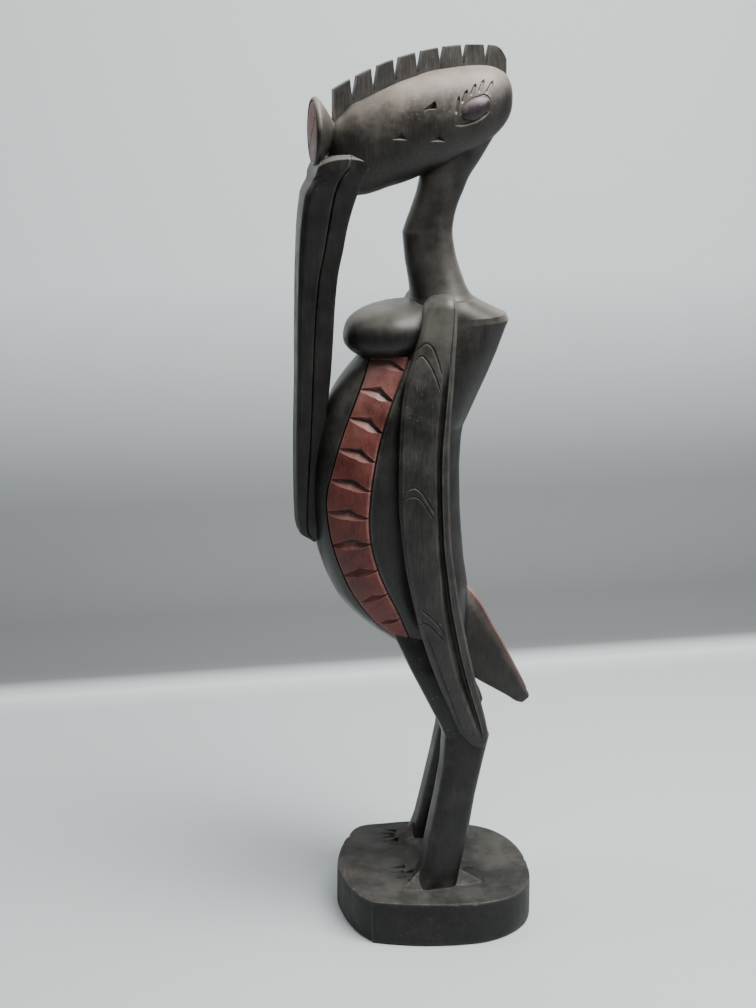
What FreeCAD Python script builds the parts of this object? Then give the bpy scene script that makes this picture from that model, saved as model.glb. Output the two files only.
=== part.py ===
"""Standing hornbill figure carved in dark stained wood, as a parametric FreeCAD document.

Millimetres, +Z up, origin on the plinth's underside, below the middle of the bird. The bird
faces -Y and its left side is +X. The pieces meet face to face along the figure's carved
boundaries.
"""
import FreeCAD, Part
import math
import os

import Sketcher

doc = FreeCAD.newDocument("hornbill_figure")
sheet = doc.addObject("Spreadsheet::Sheet", "dimensions")
V = FreeCAD.Vector

# ---------------------------------------------------------------- driving dimensions
DIMENSIONS = [
    ("base_thickness", 35.5, "plinth, underside to top"),
    ("base_half_width", 77.5, "plinth, half of its size across the bird"),
    ("base_half_depth", 77.0, "plinth, half of its size front to back"),
    ("base_middle_x", 15.5, "plinth's middle, to the bird's left of the middle plane"),
    ("base_middle_y", -6.0, "plinth's middle, behind the origin"),
    ("base_bevel", 2.5, "bevel of the plinth's upper and lower edges"),
    ("tenon_radius", 8.0, "round tenons under the feet and at both ends of the neck"),
    ("tenon_length", 20.0, "depth of each tenon in its mortise"),
    ("right_leg_setback", 14.0, "right leg behind the left one"),
    ("panel_depth", 5.0, "depth of a painted belly panel"),
    ("scale_depth", 1.8, "depth of the cuts between the belly scales"),
    ("scale_gap", 2.2, "width of the cuts between the belly scales"),
    ("chest_half_width", 43.0, "pillow-shaped chest, half width"),
    ("chest_half_depth", 40.0, "chest, half of its size front to back"),
    ("chest_half_height", 23.5, "chest, half height"),
    ("chest_forward", 36.0, "chest centre in front of the origin"),
    ("chest_height", 480.5, "chest centre above the floor"),
    ("wing_inner", 34.0, "inner plane of the wings before they are fitted to the body"),
    ("wing_outer", 60.0, "outermost point of a wing's bowed outer face"),
    ("wing_bow_radius", 1800.0, "radius of the bow of the wing's outer face"),
    ("wing_bow_height", 301.0, "height of the outermost point of a wing"),
    ("tail_half_width", 17.0, "tail, half width"),
    ("tail_paint_half_width", 13.0, "painted strip on the tail, half width"),
    ("tail_paint_depth", 3.0, "depth of the painted strip"),
    ("nick_width", 1.6, "width of the nicks across the painted strip"),
    ("crest_thickness", 10.0, "comb on the head, thickness"),
    ("snout_height", 629.0, "axis of the flared snout above the floor"),
    ("snout_rim_radius", 25.0, "rim of the snout"),
    ("snout_root_radius", 8.0, "snout where it leaves the head"),
    ("snout_front", 98.0, "front of the snout's rim, ahead of the origin"),
    ("snout_length", 17.5, "snout, head to rim"),
    ("snout_rim_width", 2.5, "dark rim around the painted face"),
    ("snout_face_depth", 2.5, "thickness of the painted face"),
    ("slit_width", 2.0, "slit cut across the painted face"),
    ("slit_angle", -41.0, "slant of the slit"),
    ("eye_half_width", 7.0, "eye dome, from its centre outwards"),
    ("eye_half_length", 12.5, "eye dome, half length"),
    ("eye_half_height", 8.5, "eye dome, half height"),
    ("eye_outward", 26.0, "eye centre from the middle plane"),
    ("eye_back", 19.5, "eye centre behind the origin"),
    ("eye_height", 646.5, "eye centre above the floor"),
]
for row, (alias, value, note) in enumerate(DIMENSIONS, start=1):
    sheet.set(f"A{row}", note)
    sheet.set(f"B{row}", str(value))
    sheet.setAlias(f"B{row}", alias)
doc.recompute()


def size(alias):
    """Value of one named cell."""
    return float(sheet.get(alias))


def cell(alias):
    """Expression that points at one named cell."""
    return f"dimensions.{alias}"


station_row = [len(DIMENSIONS) + 2]


def station_cells(prefix, values):
    """Put one row of section sizes into the sheet."""
    row = station_row[0]
    for column, (word, value) in zip("BCDEF", values.items()):
        sheet.set(f"{column}{row}", str(value))
        sheet.setAlias(f"{column}{row}", f"{prefix}_{word}")
    sheet.set(f"A{row}", prefix)
    station_row[0] += 1


# ---------------------------------------------------------------- building blocks
def bind(target, **expressions):
    """Bind properties of one object to expressions; __ stands for a dot."""
    for path, expression in expressions.items():
        target.setExpression(path.replace("__", "."), expression)
    return target


def boolean(kind, name, first, second):
    """Part boolean of two objects, such as Cut, Common or Fuse."""
    feature = doc.addObject(f"Part::{kind}", name)
    feature.Base = first
    feature.Tool = second
    return feature


def fuse_all(name, shapes):
    """Part::MultiFuse of several objects."""
    feature = doc.addObject("Part::MultiFuse", name)
    feature.Shapes = shapes
    return feature


def upright_loft(name, stations, ruled=False, inset=None, side=0):
    """Loft of level elliptical sections.

    Each station is height, front, back, half width and, for a leg, the centre's distance from
    the middle plane. inset names another loft and an expression: the sections are that loft's,
    with the expression taken off every radius. side is 1 for the bird's left and -1 for its
    right.
    """
    sections = []
    for index, station in enumerate(stations):
        prefix = f"{name}_{index + 1}"
        if inset is None:
            words = ("height", "front", "back", "half", "centre")
            station_cells(prefix, dict(zip(words, station)))
            source = cell(prefix)
            less = ""
        else:
            source = cell(f"{inset[0]}_{index + 1}")
            less = f" - {inset[1]}"
        height, front, back, half = station[:4]
        depth = f"({source}_back - {source}_front) / 2{less}"
        width = f"{source}_half{less}"
        ring = doc.addObject("Part::Ellipse", f"{prefix}_ring")
        wide = half > (back - front) / 2
        ring.Placement.Rotation = FreeCAD.Rotation(V(0, 0, 1), 0 if wide else 90)
        doc.recompute([sheet])
        bind(ring, MajorRadius=width if wide else depth, MinorRadius=depth if wide else width,
             Placement__Base__z=f"{source}_height",
             Placement__Base__y=f"({source}_front + {source}_back) / 2")
        if side:
            bind(ring, Placement__Base__x=f"{side} * {source}_centre")
        sections.append(ring)
    loft = doc.addObject("Part::Loft", name)
    loft.Sections = sections
    loft.Solid = True
    loft.Ruled = ruled
    return loft


def plane_of(body, role):
    """One of a body's own origin planes."""
    return next(item for item in body.Origin.OriginFeatures if item.Role == role)


def side_profile(name, curves, start, thickness, symmetric=False):
    """Body padded sideways from an outline drawn in the middle plane.

    curves is a list of runs of (y, z) points that follow each other round the outline: a run
    of two points is a straight line, a longer one a smooth curve. start is the expression of
    the sketch plane's X and thickness that of the pad.
    """
    body = doc.addObject("PartDesign::Body", f"{name}_body")
    sketch = body.newObject("Sketcher::SketchObject", f"{name}_outline")
    sketch.AttachmentSupport = (plane_of(body, "YZ_Plane"), "")
    sketch.MapMode = "FlatFace"
    sketch.setExpression("AttachmentOffset.Base.z", start)
    for run in curves:
        points = [V(y, z, 0) for y, z in run]
        if len(points) == 2:
            edge = Part.LineSegment(points[0], points[1])
        else:
            edge = Part.BSplineCurve()
            edge.interpolate(points)
        sketch.addGeometry(edge, False)
    for index in range(len(curves)):
        following = (index + 1) % len(curves)
        sketch.addConstraint(Sketcher.Constraint("Coincident", index, 2, following, 1))
    pad = body.newObject("PartDesign::Pad", f"{name}_pad")
    pad.Profile = sketch
    pad.setExpression("Length", thickness)
    pad.Midplane = symmetric
    return body


def closed_runs(*runs):
    """Runs of points joined end to end, each starting where the one before it stopped."""
    joined = []
    for index, run in enumerate(runs):
        joined.append(list(run) + [runs[(index + 1) % len(runs)][0]])
    return joined


def mirrored(name, source):
    """The same piece on the bird's other side."""
    twin = doc.addObject("Part::Mirroring", name)
    twin.Source = source
    twin.Base = V(0, 0, 0)
    twin.Normal = V(1, 0, 0)
    return twin


def cylinder(name, x="0", y="0", z="0", radius="1", length="1", tilt=0.0):
    """Round peg standing at a point, tilted about the X axis by tilt degrees."""
    peg = doc.addObject("Part::Cylinder", name)
    peg.Placement.Rotation = FreeCAD.Rotation(V(1, 0, 0), tilt)
    return bind(peg, Radius=radius, Height=length, Placement__Base__x=x,
                Placement__Base__y=y, Placement__Base__z=z)


pieces = {}

# ---------------------------------------------------------------- whole shapes before fitting
# Torso: heights, front, back and half width, from between the thighs up to the shoulders.
TORSO = [
    (219.0, -24.0, 27.0, 30.0),
    (237.0, -46.0, 27.0, 38.0),
    (263.0, -75.0, 25.0, 44.0),
    (298.0, -93.0, 21.0, 49.0),
    (355.0, -101.0, 16.5, 50.0),
    (401.0, -95.5, 18.0, 48.0),
    (434.0, -83.0, 31.0, 43.5),
    (463.0, -63.0, 45.0, 39.0),
    (488.0, -46.0, 54.0, 35.0),
    (504.0, -30.0, 30.0, 29.0),
]
torso_whole = upright_loft("torso_whole", TORSO)
torso_core = upright_loft("torso_core", TORSO, inset=("torso_whole", cell("panel_depth")))
scale_floor = upright_loft("scale_floor", TORSO, inset=("torso_whole", cell("scale_depth")))

# Neck: an S from the shoulders, forwards in the middle and back up under the head.
NECK = [
    (497.0, -22.5, 29.0, 24.0),
    (521.0, -24.6, 17.0, 18.5),
    (554.0, -28.7, 9.4, 17.0),
    (579.0, -20.0, 15.4, 17.0),
    (601.0, -6.0, 26.0, 17.5),
    (627.0, 10.0, 43.0, 18.0),
]
neck_whole = upright_loft("neck_whole", NECK)

# Head: sections along Y with their lower and upper heights and half widths.
HEAD = [
    (-82.0, 612.0, 638.0, 12.0),
    (-64.0, 583.0, 652.0, 22.0),
    (-40.0, 588.0, 663.0, 27.0),
    (-14.0, 596.0, 671.5, 30.0),
    (10.0, 606.0, 676.0, 30.5),
    (32.0, 618.0, 677.0, 28.0),
    (48.0, 630.0, 673.0, 21.0),
    (55.0, 641.0, 660.0, 9.0),
]
rings = []
for index, (along, low, high, half) in enumerate(HEAD):
    prefix = f"head_{index + 1}"
    station_cells(prefix, {"along": along, "low": low, "high": high, "half": half})
    doc.recompute([sheet])
    ring = doc.addObject("Part::Ellipse", f"{prefix}_ring")
    ring.Placement.Rotation = FreeCAD.Rotation(V(0, 0, 1), V(1, 0, 0), V(0, 1, 0), "ZXY")
    bind(ring, MajorRadius=f"({cell(prefix)}_high - {cell(prefix)}_low) / 2",
         MinorRadius=f"{cell(prefix)}_half",
         Placement__Base__y=f"{cell(prefix)}_along",
         Placement__Base__z=f"({cell(prefix)}_high + {cell(prefix)}_low) / 2")
    rings.append(ring)
head_whole = doc.addObject("Part::Loft", "head_whole")
head_whole.Sections = rings
head_whole.Solid = True

# Legs: a straight shank, a sharp knee that points back, and a thigh that leans forwards and
# inwards to the hip. The right foot and knee stand a little behind the left ones.
HIP = (253.0, -46.0, 12.0, 13.0, 29.0)
LEFT_LEG = [
    (35.5, -28.5, 10.0, 15.0, 44.5),
    (158.0, -2.3, 33.5, 13.0, 38.0),
    HIP,
]
setback = size("right_leg_setback")
RIGHT_LEG = [(height, front + setback, back + setback, half, centre)
             for height, front, back, half, centre in LEFT_LEG[:2]] + [HIP]
leg_left_whole = upright_loft("leg_left_whole", LEFT_LEG, ruled=True, side=1)
leg_right_whole = upright_loft("leg_right_whole", RIGHT_LEG, ruled=True, side=-1)

# Wings: long pointed blades with a rounded shoulder and a tip beside the knee.
wing_blank = side_profile(
    "wing_blank",
    closed_runs(
        [(4.0, 509.0), (-10.0, 508.5), (-20.0, 497.0), (-31.0, 463.5), (-38.2, 409.0),
         (-41.0, 351.0), (-34.5, 296.0), (-18.5, 234.0), (6.0, 172.0)],
        [(16.0, 154.0), (22.0, 150.5)],
        [(30.0, 154.0), (28.5, 175.0), (16.3, 226.0), (3.0, 294.0), (-2.5, 362.0),
         (0.5, 421.0), (5.0, 475.0)],
    ),
    cell("wing_inner"),
    f"{cell('wing_outer')} - {cell('wing_inner')} + 2",
)
wing_bow = doc.addObject("Part::Cylinder", "wing_bow")
wing_bow.Placement.Rotation = FreeCAD.Rotation(V(1, 0, 0), -90)
bind(wing_bow, Radius=cell("wing_bow_radius"), Height="200",
     Placement__Base__x=f"{cell('wing_outer')} - {cell('wing_bow_radius')}",
     Placement__Base__y="-100", Placement__Base__z=cell("wing_bow_height"))
wing_whole = boolean("Common", "wing_whole", wing_blank, wing_bow)

# Chest: a pillow that swells forwards over the belly.
chest_whole = doc.addObject("Part::Ellipsoid", "chest_whole")
bind(chest_whole, Radius1=cell("chest_half_height"), Radius2=cell("chest_half_width"),
     Radius3=cell("chest_half_depth"), Placement__Base__y=f"-{cell('chest_forward')}",
     Placement__Base__z=cell("chest_height"))

# ---------------------------------------------------------------- plinth
# A slab across a round log, hewn to flats all round, with a bevel above and below.
base_body = doc.addObject("PartDesign::Body", "base_body")
base_sketch = base_body.newObject("Sketcher::SketchObject", "base_outline")
base_sketch.AttachmentSupport = (plane_of(base_body, "XY_Plane"), "")
base_sketch.MapMode = "FlatFace"
half_x = size("base_half_width")
half_y = size("base_half_depth")
BASE_CORNERS = [
    (-0.10, -1.00), (0.42, -0.95), (0.72, -0.83), (0.84, -0.67), (0.98, 0.00), (1.00, 0.36),
    (0.91, 0.68), (0.72, 0.86), (0.24, 1.00), (-0.12, 1.00), (-0.46, 0.91), (-0.80, 0.58),
    (-0.98, 0.00), (-1.00, -0.32), (-0.96, -0.60), (-0.72, -0.76),
]
corners = [V(size("base_middle_x") + x * half_x, size("base_middle_y") + y * half_y, 0)
           for x, y in BASE_CORNERS]
for index, corner in enumerate(corners):
    following = corners[(index + 1) % len(corners)]
    base_sketch.addGeometry(Part.LineSegment(corner, following), False)
for index in range(len(corners)):
    following = (index + 1) % len(corners)
    base_sketch.addConstraint(Sketcher.Constraint("Coincident", index, 2, following, 1))
base_pad = base_body.newObject("PartDesign::Pad", "base_pad")
base_pad.Profile = base_sketch
base_pad.setExpression("Length", cell("base_thickness"))
doc.recompute()
base_bevel = base_body.newObject("PartDesign::Chamfer", "base_bevels")
flat_faces = [f"Face{number}" for number, face in enumerate(base_pad.Shape.Faces, start=1)
              if abs(face.normalAt(0, 0).z) > 0.99]
base_bevel.Base = (base_pad, flat_faces)
base_bevel.setExpression("Size", cell("base_bevel"))

# ---------------------------------------------------------------- legs and their mortises
tenons = []
for side_name, side, whole in [("left", 1, leg_left_whole), ("right", -1, leg_right_whole)]:
    foot = cell(f"leg_{side_name}_whole_1")
    tenon = cylinder(f"foot_tenon_{side_name}", x=f"{side} * {foot}_centre",
                     y=f"({foot}_front + {foot}_back) / 2",
                     z=f"{cell('base_thickness')} - {cell('tenon_length')}",
                     radius=cell("tenon_radius"), length=f"{cell('tenon_length')} + 10")
    pegged = boolean("Fuse", f"leg_{side_name}_pegged", whole, tenon)
    pieces[f"leg_{side_name}"] = boolean("Cut", f"leg_{side_name}_cut", pegged, torso_whole)
    tenons.append(tenon)
pieces["base_plinth"] = boolean("Cut", "base_cut", base_body, fuse_all("foot_mortises", tenons))

# ---------------------------------------------------------------- belly panels
# A red strip down each side of the belly, cut across into ten scales.
panel_blank = side_profile(
    "panel_blank",
    closed_runs(
        [(-57.5, 464.0), (-73.5, 429.0), (-89.0, 382.0), (-94.0, 351.0), (-89.0, 315.0),
         (-76.0, 282.0), (-58.0, 255.0)],
        [(-38.0, 235.0), (-30.0, 242.0)],
        [(-29.0, 245.0), (-47.0, 279.0), (-59.5, 312.0), (-62.5, 346.0), (-59.0, 382.0),
         (-46.5, 425.0)],
        [(-30.5, 463.5), (-44.0, 466.0)],
    ),
    "5",
    "60",
)
panel_skin = boolean("Cut", "panel_skin", torso_whole, torso_core)
panel_whole = boolean("Common", "panel_whole", panel_skin, panel_blank)
SCALE_COUNT = 10
SCALE_TOP = 457.0
SCALE_PITCH = 22.8
slots = []
for index in range(SCALE_COUNT):
    slot = doc.addObject("Part::Box", f"scale_slot_{index + 1}")
    slot.Placement.Base = V(0, -110, SCALE_TOP - SCALE_PITCH * index)
    slot.Placement.Rotation = FreeCAD.Rotation(V(1, 0, 0), 10 - 2 * index)
    bind(slot, Length="70", Width="110", Height=cell("scale_gap"))
    slots.append(slot)
scale_slots = boolean("Cut", "scale_cuts", fuse_all("scale_slots", slots), scale_floor)
pieces["belly_panel_left"] = boolean("Cut", "panel_cut", panel_whole, scale_slots)
pieces["belly_panel_right"] = mirrored("panel_right_cut", pieces["belly_panel_left"])

# ---------------------------------------------------------------- chest, torso and neck
neck_tenon = cylinder("neck_tenon", y="-1", z=f"497 - {cell('tenon_length')}",
                      radius=cell("tenon_radius"), length=f"{cell('tenon_length')} + 12")
head_tenon = cylinder("head_tenon", y="22", z="613", radius=cell("tenon_radius"),
                      length=f"{cell('tenon_length')} + 6", tilt=-12.0)
neck_pegged = fuse_all("neck_pegged", [neck_whole, neck_tenon, head_tenon])
pieces["chest"] = boolean("Cut", "chest_cut", chest_whole, neck_pegged)
panel_right_whole = mirrored("panel_right_whole", panel_whole)
torso_cutters = fuse_all("torso_cutters", [panel_whole, panel_right_whole, chest_whole,
                                           neck_pegged])
pieces["torso"] = boolean("Cut", "torso_cut", torso_whole, torso_cutters)

# ---------------------------------------------------------------- wings
wing_cutters = fuse_all("wing_cutters", [torso_whole, chest_whole, leg_left_whole,
                                         leg_right_whole])
pieces["wing_left"] = boolean("Cut", "wing_left_cut", wing_whole, wing_cutters)
wing_right_whole = mirrored("wing_right_whole", wing_whole)
pieces["wing_right"] = boolean("Cut", "wing_right_cut", wing_right_whole, wing_cutters)

# ---------------------------------------------------------------- tail
# A wedge that drops behind the legs, with a painted and nicked strip down its back.
TAIL_TOP = [(20.0, 287.0), (42.5, 249.0), (64.5, 207.0), (76.5, 179.0)]
tail_body = side_profile(
    "tail",
    closed_runs(
        TAIL_TOP,
        [(78.0, 172.5), (74.5, 167.5), (68.0, 167.5)],
        [(59.0, 174.0), (18.0, 201.0)],
        [(4.0, 219.0), (4.0, 281.0)],
    ),
    "0",
    f"2 * {cell('tail_half_width')}",
    symmetric=True,
)
PAINT_FROM = (27.0, 275.5)
PAINT_TO = (73.5, 186.0)
paint = size("tail_paint_depth")
slope = math.atan2(PAINT_FROM[1] - PAINT_TO[1], PAINT_TO[0] - PAINT_FROM[0])
inwards = (-math.sin(slope) * paint, -math.cos(slope) * paint)
lower = [(y + inwards[0] + 1.0, z + inwards[1]) for y, z in (PAINT_FROM, PAINT_TO)]
upper = [(y - 3 * inwards[0], z - 3 * inwards[1]) for y, z in (PAINT_TO, PAINT_FROM)]
strip_line = lower + upper
strip_runs = [[start, end] for start, end in zip(strip_line, strip_line[1:] + strip_line[:1])]
tail_strip = side_profile("tail_strip", strip_runs, "0", f"2 * {cell('tail_paint_half_width')}",
                          symmetric=True)
NICK_COUNT = 5
nicks = []
for index in range(NICK_COUNT):
    share = (index + 0.5) / NICK_COUNT
    nick = doc.addObject("Part::Box", f"tail_nick_{index + 1}")
    nick.Placement.Rotation = FreeCAD.Rotation(V(1, 0, 0), -math.degrees(slope))
    nick.Placement.Base = V(-20, PAINT_FROM[0] + share * (PAINT_TO[0] - PAINT_FROM[0]),
                            PAINT_FROM[1] + share * (PAINT_TO[1] - PAINT_FROM[1]) + 1.0)
    bind(nick, Length="40", Width=cell("nick_width"), Height="12")
    nicks.append(nick)
tail_bare = boolean("Cut", "tail_bare", tail_body, torso_whole)
tail_painted = boolean("Common", "tail_painted", tail_strip, tail_bare)
pieces["tail_paint"] = boolean("Cut", "tail_paint_cut", tail_painted,
                               fuse_all("tail_nicks", nicks))
pieces["tail"] = boolean("Cut", "tail_cut", tail_bare, tail_strip)

# ---------------------------------------------------------------- comb
# Eight square teeth along the top of the head, parted by saw cuts.
TOOTH_COUNT = 8
FIRST_CUT = -67.8
TOOTH_PITCH = 16.7


def comb_top(along):
    """Height of the comb's upper edge."""
    return 691.0 - 0.00275 * (along - 25.0) ** 2


comb_line = [(-81.0, comb_top(-81.0))]
for index in range(TOOTH_COUNT - 1):
    cut = FIRST_CUT + TOOTH_PITCH * index
    depth = 12.0 - 0.07 * cut
    comb_line += [(cut - 2.0, comb_top(cut - 2.0)), (cut, comb_top(cut) - depth),
                  (cut + 1.6, comb_top(cut) - depth + 0.6), (cut + 3.2, comb_top(cut + 3.2))]
comb_line += [(41.0, comb_top(41.0)), (46.5, 685.0), (48.0, 671.0), (30.0, 669.0), (5.0, 666.0),
              (-30.0, 657.0), (-60.0, 643.0), (-76.0, 630.0), (-81.0, 632.0)]
comb_runs = [[start, end] for start, end in zip(comb_line, comb_line[1:] + comb_line[:1])]
comb_body = side_profile("comb", comb_runs, "0", cell("crest_thickness"), symmetric=True)

# ---------------------------------------------------------------- snout
# A trumpet with a thin rim; its flat front is painted and slit from side to side.
snout_body = doc.addObject("PartDesign::Body", "snout_body")
snout_sketch = snout_body.newObject("Sketcher::SketchObject", "snout_section")
snout_sketch.AttachmentSupport = (plane_of(snout_body, "YZ_Plane"), "")
snout_sketch.MapMode = "FlatFace"
axis_z = size("snout_height")
front = -size("snout_front")
back = front + size("snout_length")
rim = size("snout_rim_radius")
face = rim - size("snout_rim_width")
seat = front + size("snout_face_depth")
root = size("snout_root_radius")
trumpet = [(back, 0.0), (back, root), (back - 5.0, root + 4.0), (front + 6.0, rim - 3.0),
           (front + 3.0, rim), (front, rim - 0.8), (front, face), (seat, face), (seat, 0.0)]
for start, end in zip(trumpet, trumpet[1:] + trumpet[:1]):
    snout_sketch.addGeometry(Part.LineSegment(V(start[0], axis_z + start[1], 0),
                                              V(end[0], axis_z + end[1], 0)), False)
for index in range(len(trumpet)):
    following = (index + 1) % len(trumpet)
    snout_sketch.addConstraint(Sketcher.Constraint("Coincident", index, 2, following, 1))
snout_turn = snout_body.newObject("PartDesign::Revolution", "snout_turn")
snout_turn.Profile = snout_sketch
snout_turn.ReferenceAxis = (snout_sketch, [f"Edge{len(trumpet)}"])
snout_turn.Angle = 360

face_disc = doc.addObject("Part::Cylinder", "face_disc")
face_disc.Placement.Rotation = FreeCAD.Rotation(V(1, 0, 0), -90)
bind(face_disc, Radius=f"{cell('snout_rim_radius')} - {cell('snout_rim_width')}",
     Height=cell("snout_face_depth"), Placement__Base__y=f"-{cell('snout_front')}",
     Placement__Base__z=cell("snout_height"))
slit = doc.addObject("Part::Box", "face_slit")
slit.Placement.Rotation = FreeCAD.Rotation(V(0, 1, 0), size("slit_angle"))
slit_x = -30.0 * math.cos(math.radians(size("slit_angle")))
slit_z = 30.0 * math.sin(math.radians(size("slit_angle")))
slit.Placement.Base = V(slit_x, 0, 0)
bind(slit, Length="60", Width="1.5", Height=cell("slit_width"),
     Placement__Base__y=f"-{cell('snout_front')}",
     Placement__Base__z=f"{cell('snout_height')} + {slit_z}")
pieces["snout_face"] = boolean("Cut", "face_cut", face_disc, slit)

# ---------------------------------------------------------------- beak
# Two long blades, one behind the other, with a groove between them. Each section is a
# rectangle: height, front, groove, back and half width.
BEAK = [
    (614.0, -83.0, -75.0, -67.0, 13.0),
    (609.5, -91.0, -75.5, -60.0, 19.0),
    (597.0, -99.5, -78.5, -59.5, 21.0),
    (579.0, -105.0, -84.5, -67.0, 19.0),
    (551.0, -108.8, -90.0, -76.5, 16.0),
    (511.0, -111.5, -97.0, -83.0, 14.5),
    (451.0, -113.0, -101.0, -86.5, 13.5),
    (391.0, -114.5, -103.5, -92.0, 13.0),
    (336.0, -114.0, -106.0, -97.0, 12.5),
    (316.0, -109.0, -105.0, -98.5, 10.0),
]
for index, (height, fore, groove, aft, half) in enumerate(BEAK):
    station_cells(f"beak_{index + 1}", {"height": height, "fore": fore, "groove": groove,
                                        "aft": aft, "half": half})


def beak_blade(name, near, far):
    """One blade: a loft of rectangles between two columns of the beak's stations."""
    body = doc.addObject("PartDesign::Body", f"{name}_body")
    sketches = []
    for index, station in enumerate(BEAK):
        prefix = cell(f"beak_{index + 1}")
        sketch = body.newObject("Sketcher::SketchObject", f"{name}_section_{index + 1}")
        sketch.AttachmentSupport = (plane_of(body, "XY_Plane"), "")
        sketch.MapMode = "FlatFace"
        sketch.setExpression("AttachmentOffset.Base.z", f"{prefix}_height")
        sketch.setExpression("AttachmentOffset.Base.y", f"({prefix}_{near} + {prefix}_{far}) / 2")
        wide = station[4]
        deep = 5.0
        ends = [V(-wide, -deep, 0), V(wide, -deep, 0), V(wide, deep, 0), V(-wide, deep, 0)]
        for start, end in zip(ends, ends[1:] + ends[:1]):
            sketch.addGeometry(Part.LineSegment(start, end), False)
        for edge in range(4):
            sketch.addConstraint(Sketcher.Constraint("Coincident", edge, 2, (edge + 1) % 4, 1))
            kind = "Horizontal" if edge % 2 == 0 else "Vertical"
            sketch.addConstraint(Sketcher.Constraint(kind, edge))
        sketch.addConstraint(Sketcher.Constraint("Symmetric", 0, 1, 1, 2, -1, 1))
        across = sketch.addConstraint(Sketcher.Constraint("DistanceX", 0, 1, 0, 2, 2 * wide))
        along = sketch.addConstraint(Sketcher.Constraint("DistanceY", 1, 1, 1, 2, 2 * deep))
        sketch.setExpression(f"Constraints[{across}]", f"2 * {prefix}_half")
        sketch.setExpression(f"Constraints[{along}]", f"{prefix}_{far} - {prefix}_{near}")
        sketches.append(sketch)
    loft = body.newObject("PartDesign::AdditiveLoft", f"{name}_loft")
    loft.Profile = sketches[0]
    loft.Sections = sketches[1:]
    loft.Ruled = True
    return body


doc.recompute([sheet])
blade_front = beak_blade("blade_front", "fore", "groove")
blade_back = beak_blade("blade_back", "groove", "aft")
beak_cutters = fuse_all("beak_cutters", [torso_whole, snout_body])
pieces["beak_front"] = boolean("Cut", "blade_front_cut", blade_front, beak_cutters)
pieces["beak_back"] = boolean("Cut", "blade_back_cut", blade_back, beak_cutters)
pieces["snout"] = snout_body

# ---------------------------------------------------------------- head, eyes and neck
head_cutters = fuse_all("head_cutters", [comb_body, snout_body, blade_front, blade_back,
                                         head_tenon])
pieces["comb"] = boolean("Cut", "comb_cut", comb_body, snout_body)
pieces["head"] = boolean("Cut", "head_cut", head_whole, head_cutters)
neck_end = boolean("Cut", "neck_end", neck_pegged, head_whole)
pieces["neck"] = boolean("Fuse", "neck_fuse", neck_end, head_tenon)

eye_ball = doc.addObject("Part::Ellipsoid", "eye_ball")
eye_ball.Placement.Rotation = FreeCAD.Rotation(V(1, 0, 0), 30)
bind(eye_ball, Radius1=cell("eye_half_height"), Radius2=cell("eye_half_width"),
     Radius3=cell("eye_half_length"), Placement__Base__x=cell("eye_outward"),
     Placement__Base__y=cell("eye_back"), Placement__Base__z=cell("eye_height"))
pieces["eye_left"] = boolean("Cut", "eye_cut", eye_ball, head_whole)
pieces["eye_right"] = mirrored("eye_right_cut", pieces["eye_left"])

# ---------------------------------------------------------------- check and write
doc.recompute()
for item in doc.Objects:
    if "Invalid" in item.State or "Error" in item.State:
        raise RuntimeError(f"{item.Name} failed: {item.State}")
for node, piece in pieces.items():
    piece.Label = node
    shape = piece.Shape
    if shape.isNull() or not shape.isValid() or not shape.Solids:
        raise RuntimeError(f"{node} is not a valid solid")
    if len(shape.Solids) > 1:
        raise RuntimeError(f"{node} is in {len(shape.Solids)} separate solids")

os.makedirs("parts", exist_ok=True)
for node, piece in pieces.items():
    piece.Shape.exportStep(f"parts/{node}.step")
    box = piece.Shape.BoundBox
    print(f"{node:18s} volume {piece.Shape.Volume / 1000.0:8.2f} cm3"
          f"  x {box.XMin:6.1f} {box.XMax:6.1f}  y {box.YMin:6.1f} {box.YMax:6.1f}"
          f"  z {box.ZMin:6.1f} {box.ZMax:6.1f}")
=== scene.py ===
"""Look of a standing hornbill carved in dark stained wood, with red scales on its belly.

Metres in the finished meshes, millimetres while a piece is shaped. +Z is up, the bird faces -Y
and its left side is +X.
"""
import math

import bmesh
import bpy
import numpy as np
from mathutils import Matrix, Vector


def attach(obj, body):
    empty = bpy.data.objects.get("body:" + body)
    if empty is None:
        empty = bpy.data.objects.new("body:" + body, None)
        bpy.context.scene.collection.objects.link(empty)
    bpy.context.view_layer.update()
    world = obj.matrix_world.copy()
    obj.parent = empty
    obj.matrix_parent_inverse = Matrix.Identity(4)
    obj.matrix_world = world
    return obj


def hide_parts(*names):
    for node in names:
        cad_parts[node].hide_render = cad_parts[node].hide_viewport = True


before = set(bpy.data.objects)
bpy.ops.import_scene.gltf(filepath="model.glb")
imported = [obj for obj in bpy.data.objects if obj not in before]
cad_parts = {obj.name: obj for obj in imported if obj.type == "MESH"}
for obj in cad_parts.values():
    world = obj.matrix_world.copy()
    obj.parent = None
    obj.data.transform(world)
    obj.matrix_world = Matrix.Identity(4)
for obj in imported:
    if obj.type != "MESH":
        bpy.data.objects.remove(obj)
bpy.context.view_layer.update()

# ---------------------------------------------------------------- floor, light and camera
# A pale seamless sweep that rises behind the figure, with painted shade darkening the wall towards
# its foot and a thin painted highlight where it leaves the floor, lit from overhead by one wide soft
# lamp with weak fills, and a camera at the height of the figure's top.
SWEEP_FOOT = -0.46
SWEEP_BEND = 0.22


def node(tree, kind, links=(), **settings):
    """Add a node, set its properties and sockets, and link sources to its inputs."""
    made = tree.nodes.new(kind)
    for key, value in settings.items():
        setattr(made, key, value)
    for socket, source in links:
        if hasattr(source, "node"):
            tree.links.new(source, made.inputs[socket])
        else:
            made.inputs[socket].default_value = source
    return made


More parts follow.
